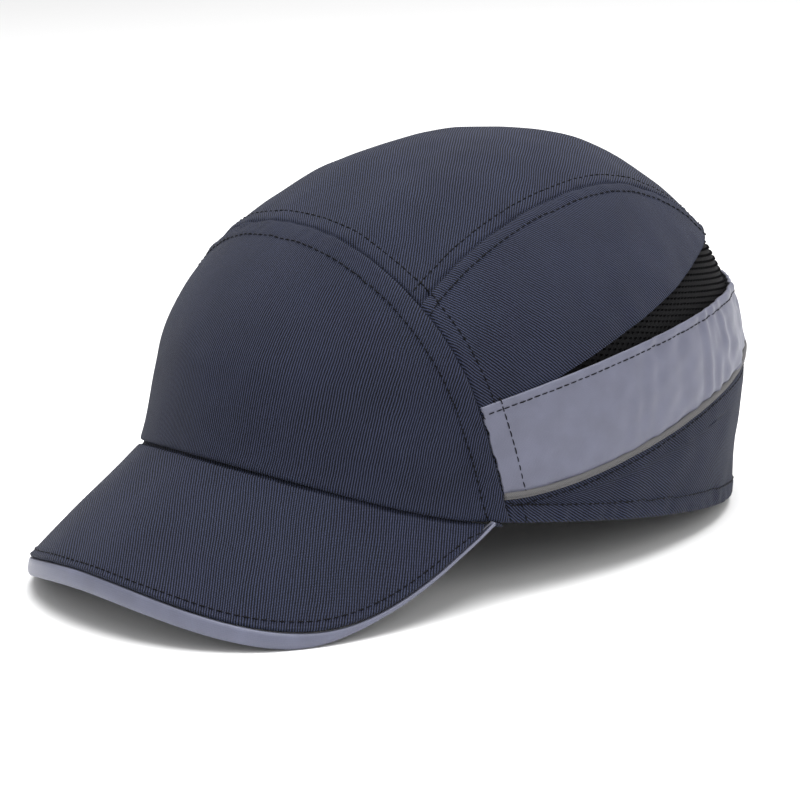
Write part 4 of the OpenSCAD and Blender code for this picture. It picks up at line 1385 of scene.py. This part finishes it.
shell_outer = shell_top - shell_normal * (SHELL_DEPTH + 1.1 * round_edge)[..., None]
shell_inner = shell_top - shell_normal * (SHELL_DEPTH + SHELL_T - 1.1 * round_edge + 0.35 * rib_mask)[..., None]
m, n = shell_top.shape[:2]
count = m * n
pole = skin(0, 90)
shell_points = np.concatenate([shell_outer.reshape(-1, 3), shell_inner.reshape(-1, 3),
                               [pole - [0, 0, SHELL_DEPTH], pole - [0, 0, SHELL_DEPTH + SHELL_T]]])
shell_faces = grid_faces(m, n, ring=True) + grid_faces(m, n, count, True, True)
for i in range(n):
    k = (i + 1) % n
    shell_faces.append((k, i, count + i, count + k))
    shell_faces.append(((m - 1) * n + i, (m - 1) * n + k, 2 * count))
    shell_faces.append((count + (m - 1) * n + k, count + (m - 1) * n + i, 2 * count + 1))
new_piece("hard_shell", shell_points, shell_faces, "insert", shell_plastic, ["protective_shell"])


def pad(name, place, size, node, grooves=()):
    """Foam pad: crowned, with rounded corners and edges, and pressed-in channels."""
    s = np.linspace(-1, 1, max(16, int(size[0] / 1.6)))
    t = np.linspace(-1, 1, max(16, int(size[1] / 1.6)))
    s, t = np.sin(s * math.pi / 2) * 0.45 + s * 0.55, np.sin(t * math.pi / 2) * 0.45 + t * 0.55
    a, b = np.meshgrid(s, t)
    square = np.maximum(np.abs(a), np.abs(b))
    pull = square / np.maximum((np.abs(a) ** 7 + np.abs(b) ** 7) ** (1 / 7), 1e-9)
    a2, b2 = a * pull, b * pull
    top = place((a2 + 1) / 2, (b2 + 1) / 2)
    out = normals(top)
    edge_mm = np.minimum((1 - np.abs(a)) * size[0] / 2, (1 - np.abs(b)) * size[1] / 2)
    r = 4.5
    full = np.sqrt(np.maximum(0, 1 - (1 - np.clip(edge_mm, 0, r) / r) ** 2))
    crown_h = PAD_T * (0.3 + 0.7 * full)
    for way, middle in grooves:
        line = (a2 if way == "s" else b2) - middle
        crown_h = crown_h - 1.7 * np.exp(-(line * (size[0] if way == "s" else size[1]) / 2 / 2.0) ** 2) * full
    crown_h = crown_h + 0.18 * ripple(top, 16, 61) * full
    near = top - out * (PAD_DEPTH + 0.02)
    far = top - out * (PAD_DEPTH + crown_h)[..., None]
    plate(name, near, far, "insert", pad_foam, [node])


def patch_pad(u0, u1, v0, v1):
    return lambda s, t: skin(mixed(u0, u1, s), mixed(v0, v1, t))


pad("front_foam_pad", patch_pad(-38, 38, float(v_at(0, SHELL_LOW_Z + 9)), 24), (130, 42), "front_pad",
    [("s", -0.33), ("s", 0.33)])
side_low_v = float(v_at(90, SHELL_LOW_Z + 9))
for side, from_u, to_u in (("left", 62, 116), ("right", -116, -62)):
    pad(f"side_foam_pad_{side}", patch_pad(from_u, to_u, side_low_v, 34), (92, 56), f"side_pad_{side}",
        [("s", 0.0), ("t", 0.0)])
rear_low_v = float(v_at(180, SHELL_LOW_Z + SHELL_REAR_RISE + 8))
pad("rear_foam_pad", patch_pad(146, 214, rear_low_v, 38), (96, 42), "rear_pad", [("s", -0.33), ("s", 0.33)])
pad("top_foam_pad", lambda s, t: skin(*over(mixed(66, 118, t), mixed(-36, 36, s))), (72, 86), "top_pad",
    [("s", 0.0), ("t", 0.0)])

# ---- Topstitching ----

sample_u, sample_v = np.meshgrid(np.arange(0, 360, 3.0), np.arange(-WALL_DEG, 88, 3.0))
sample_points, sample_outs = (f(sample_u, sample_v).reshape(-1, 3) for f in (skin, skin_out))


def outward_at(line):
    """Outward direction of the cap's skin near each point of a line."""
    near = np.array([((sample_points - p) ** 2).sum(-1).argmin() for p in line])
    rough = np.pad(sample_outs[near], ((4, 4), (0, 0)), mode="edge")
    return unit(sum(rough[k:k + len(line)] for k in range(9)))


STITCH = Nodes("stitches", Pitch=0.0031, Half=0.00125, Rise=0.0005, Thickness=0.00021, Seed=5)
curve = STITCH.node("GeometryNodeMeshToCurve", {}, {0: STITCH.inputs["Geometry"]})[0]
even_curve = STITCH.node("GeometryNodeResampleCurve", {"mode": "LENGTH"},
                         {"Curve": curve, "Length": STITCH.inputs["Pitch"]})[0]
half, rise_by = STITCH.inputs["Half"], STITCH.inputs["Rise"]
stitch_ends = STITCH.at(half * -1.0, z=rise_by * -0.5), STITCH.at(z=rise_by * 1.4), STITCH.at(half, z=rise_by * -0.5)
STITCH.wires(even_curve, STITCH.node("GeometryNodeInputTangent")[0], stitch_ends, (4, 5), STITCH.inputs["Thickness"],
             (0.86, 1.12), navy_thread)


class Sewing:
    """Rows of stitches on one body, laid on the faces of the pieces they go through."""

    def __init__(self):
        self.points, self.ups, self.edges = [], [], []

    def row(self, line, pieces, offset=0.0, out=None, depth=-1.0):
        """One row beside a line of the cap, on the side of it where the pieces are."""
        line = np.asarray(line, float)
        outward = outward_at(line) if out is None else np.broadcast_to(np.asarray(out, float), line.shape)
        side = unit(np.cross(outward, unit(np.gradient(line, axis=0))))
        tries = []
        for sign in ((1, -1) if offset else (1,)):
            path = standing(respaced(line + side * offset * sign - outward * depth))
            hits = [min((h for h in (faces_of(p).find_nearest(Vector(q), 0.004) for p in pieces) if h[0] is not None),
                        key=lambda h: h[3], default=None) for q in path]
            tries.append((sum(0.004 if h is None else h[3] for h in hits) / len(hits), hits))
        last = None
        for hit in min(tries, key=lambda t: t[0])[1]:
            if hit is None or hit[3] > 0.0032:
                last = None
                continue
            self.points.append(tuple(hit[0] + hit[1] * 0.00002))
            self.ups.append(tuple(hit[1]))
            if last is not None:
                self.edges.append((last, len(self.points) - 1))
            last = len(self.points) - 1

    def sewn(self, name, body, material):
        piece = bare(name, self.points, self.edges, ups=self.ups)
        STITCH.applied(piece, material)
        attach(piece, body)


made_trees = {}


def faces_of(name):
    if name not in made_trees:
        mesh = bpy.data.objects[name].data
        made_trees[name] = BVHTree.FromPolygons([v.co for v in mesh.vertices], [p.vertices for p in mesh.polygons])
    return made_trees[name]


FRONT, CROWN, BINDING = ["front_panel_cloth"], ["crown_panel_cloth"], ["opening_binding_tape"]
SIDES = ["side_panel_cloth_left", "side_panel_cloth_right"]
LOWERS = ["lower_panel_cloth_left", "lower_panel_cloth_right"]
thread_rows = Sewing()
thread_rows.row(arch_line, FRONT, FRONT_ROW)
thread_rows.row(arch_line, CROWN + SIDES + LOWERS, ARCH_ROW)
thread_rows.row(LINES["crown_back"], CROWN, BACK_ROW)
edge_s = np.linspace(-0.97, 0.97, 300)
thread_rows.row(brim_point(edge_s, 1.0, BRIM_ROW), ["brim_cloth"], out=(0, 0, 1))
thread_rows.row(brim_point(edge_s, 1.0, BRIM_UNDER_ROW), ["brim_under_cloth"], out=(0, 0, 1), depth=6.0)
for side in ("left", "right"):
    band = [f"reflective_band_tape_{side}"]
    thread_rows.row(LINES[f"crown_{side}"], CROWN, CROWN_ROW)
    thread_rows.row(LINES[f"crown_{side}"], [f"side_panel_cloth_{side}"], CROWN_ROW)
    thread_rows.row(LINES[f"band_top_{side}"], band, BAND_ROW)
    thread_rows.row(LINES[f"band_low_{side}"], [f"lower_panel_cloth_{side}"], LOWER_ROW)
    thread_rows.row(LINES[f"rim_{side}"], LOWERS, RIM_ROW)
    thread_rows.row(LINES[f"opening_{side}"], BINDING, BINDING_ROW)
    edge_v = np.linspace(band_foot_v - 4, band_head_v + 0.5, 30)
    front_edge = skin(arch_u(edge_v, BAND_BEHIND), edge_v)
    thread_rows.row(front_edge if side == "left" else mirror(front_edge), band, BAND_END_ROW)
sweat_u = np.linspace(-SWEATBAND_END, SWEATBAND_END, 500)
for lift in (SWEATBAND_ROW, SWEATBAND_H - SWEATBAND_ROW):
    thread_rows.row(skin(sweat_u, rim_v(sweat_u) + 0.3 + WALL_DEG * lift / WALL_H), ["sweatband_padding"], depth=6.0)
thread_rows.sewn("topstitching", "cap", navy_thread)


# ---- Camera: three-quarter front view from the wearer's left ----

camera_data = bpy.data.cameras.new("camera")
camera_data.lens = 142.4
camera_data.clip_end = 20
camera = placed("camera", camera_data)
scene.camera = camera
CAMERA_AWAY, AIM_Z = 1203.4, 63.6
AIM_RIGHT, AIM_UP = -0.02305, -0.02843
VIEW_BACK = np.array([0.73224, -0.67421, 0.09638])
VIEW_RIGHT = np.array([0.6673, 0.73852, 0.0965])
back, right = turned(VIEW_BACK), turned(VIEW_RIGHT)
view_up = np.cross(back, right)
aim = unit(-back + AIM_RIGHT * right + AIM_UP * view_up)
right = unit(right - (right @ aim) * aim)
camera.location = standing(np.array([0, 0, AIM_Z]) + CAMERA_AWAY * VIEW_BACK)
axes = np.stack([right, np.cross(-aim, right), -aim], -1)
camera.rotation_euler = Matrix(axes.tolist()).to_euler()

# ---- Studio ----

floor_mesh = bpy.data.meshes.new("studio_floor")
floor_mesh.from_pydata([(-6, -6, 0), (6, -6, 0), (6, 6, 0), (-6, 6, 0)], [], [(0, 1, 2, 3)])
studio = Finish("studio_paper", roughness=0.9, specular_ior_level=0.1)
paper = studio.noise(studio.place(), 3.0)
studio.finish(studio.colours(paper, (0.89, 0.89, 0.89), (0.91, 0.91, 0.91)))
floor_mesh.materials.append(studio.material)
floor = placed("studio_floor", floor_mesh)


def softbox(name, place, size, power):
    lamp = bpy.data.lights.new(name, "AREA")
    lamp.shape, lamp.size, lamp.size_y = "RECTANGLE", size[0], size[1]
    lamp.energy = power
    holder = placed(name, lamp)
    holder.location = place
    holder.rotation_euler = (Vector((0, 0, 0.06)) - Vector(place)).to_track_quat("-Z", "Y").to_euler()


softbox("overhead_softbox", (0.1, 0.05, 1.5), (1.4, 1.4), 38)
softbox("side_softbox", (1.5, 0.35, 0.9), (1.0, 1.0), 7)
softbox("front_fill", (0.2, -1.8, 0.7), (1.2, 0.8), 2.5)
world = bpy.data.worlds.new("studio_room")
scene.world = world
world.use_nodes = True
world.node_tree.nodes["Background"].inputs[0].default_value = (1, 1, 1, 1)
world.node_tree.nodes["Background"].inputs[1].default_value = 0.7
scene.view_settings.view_transform = "Standard"
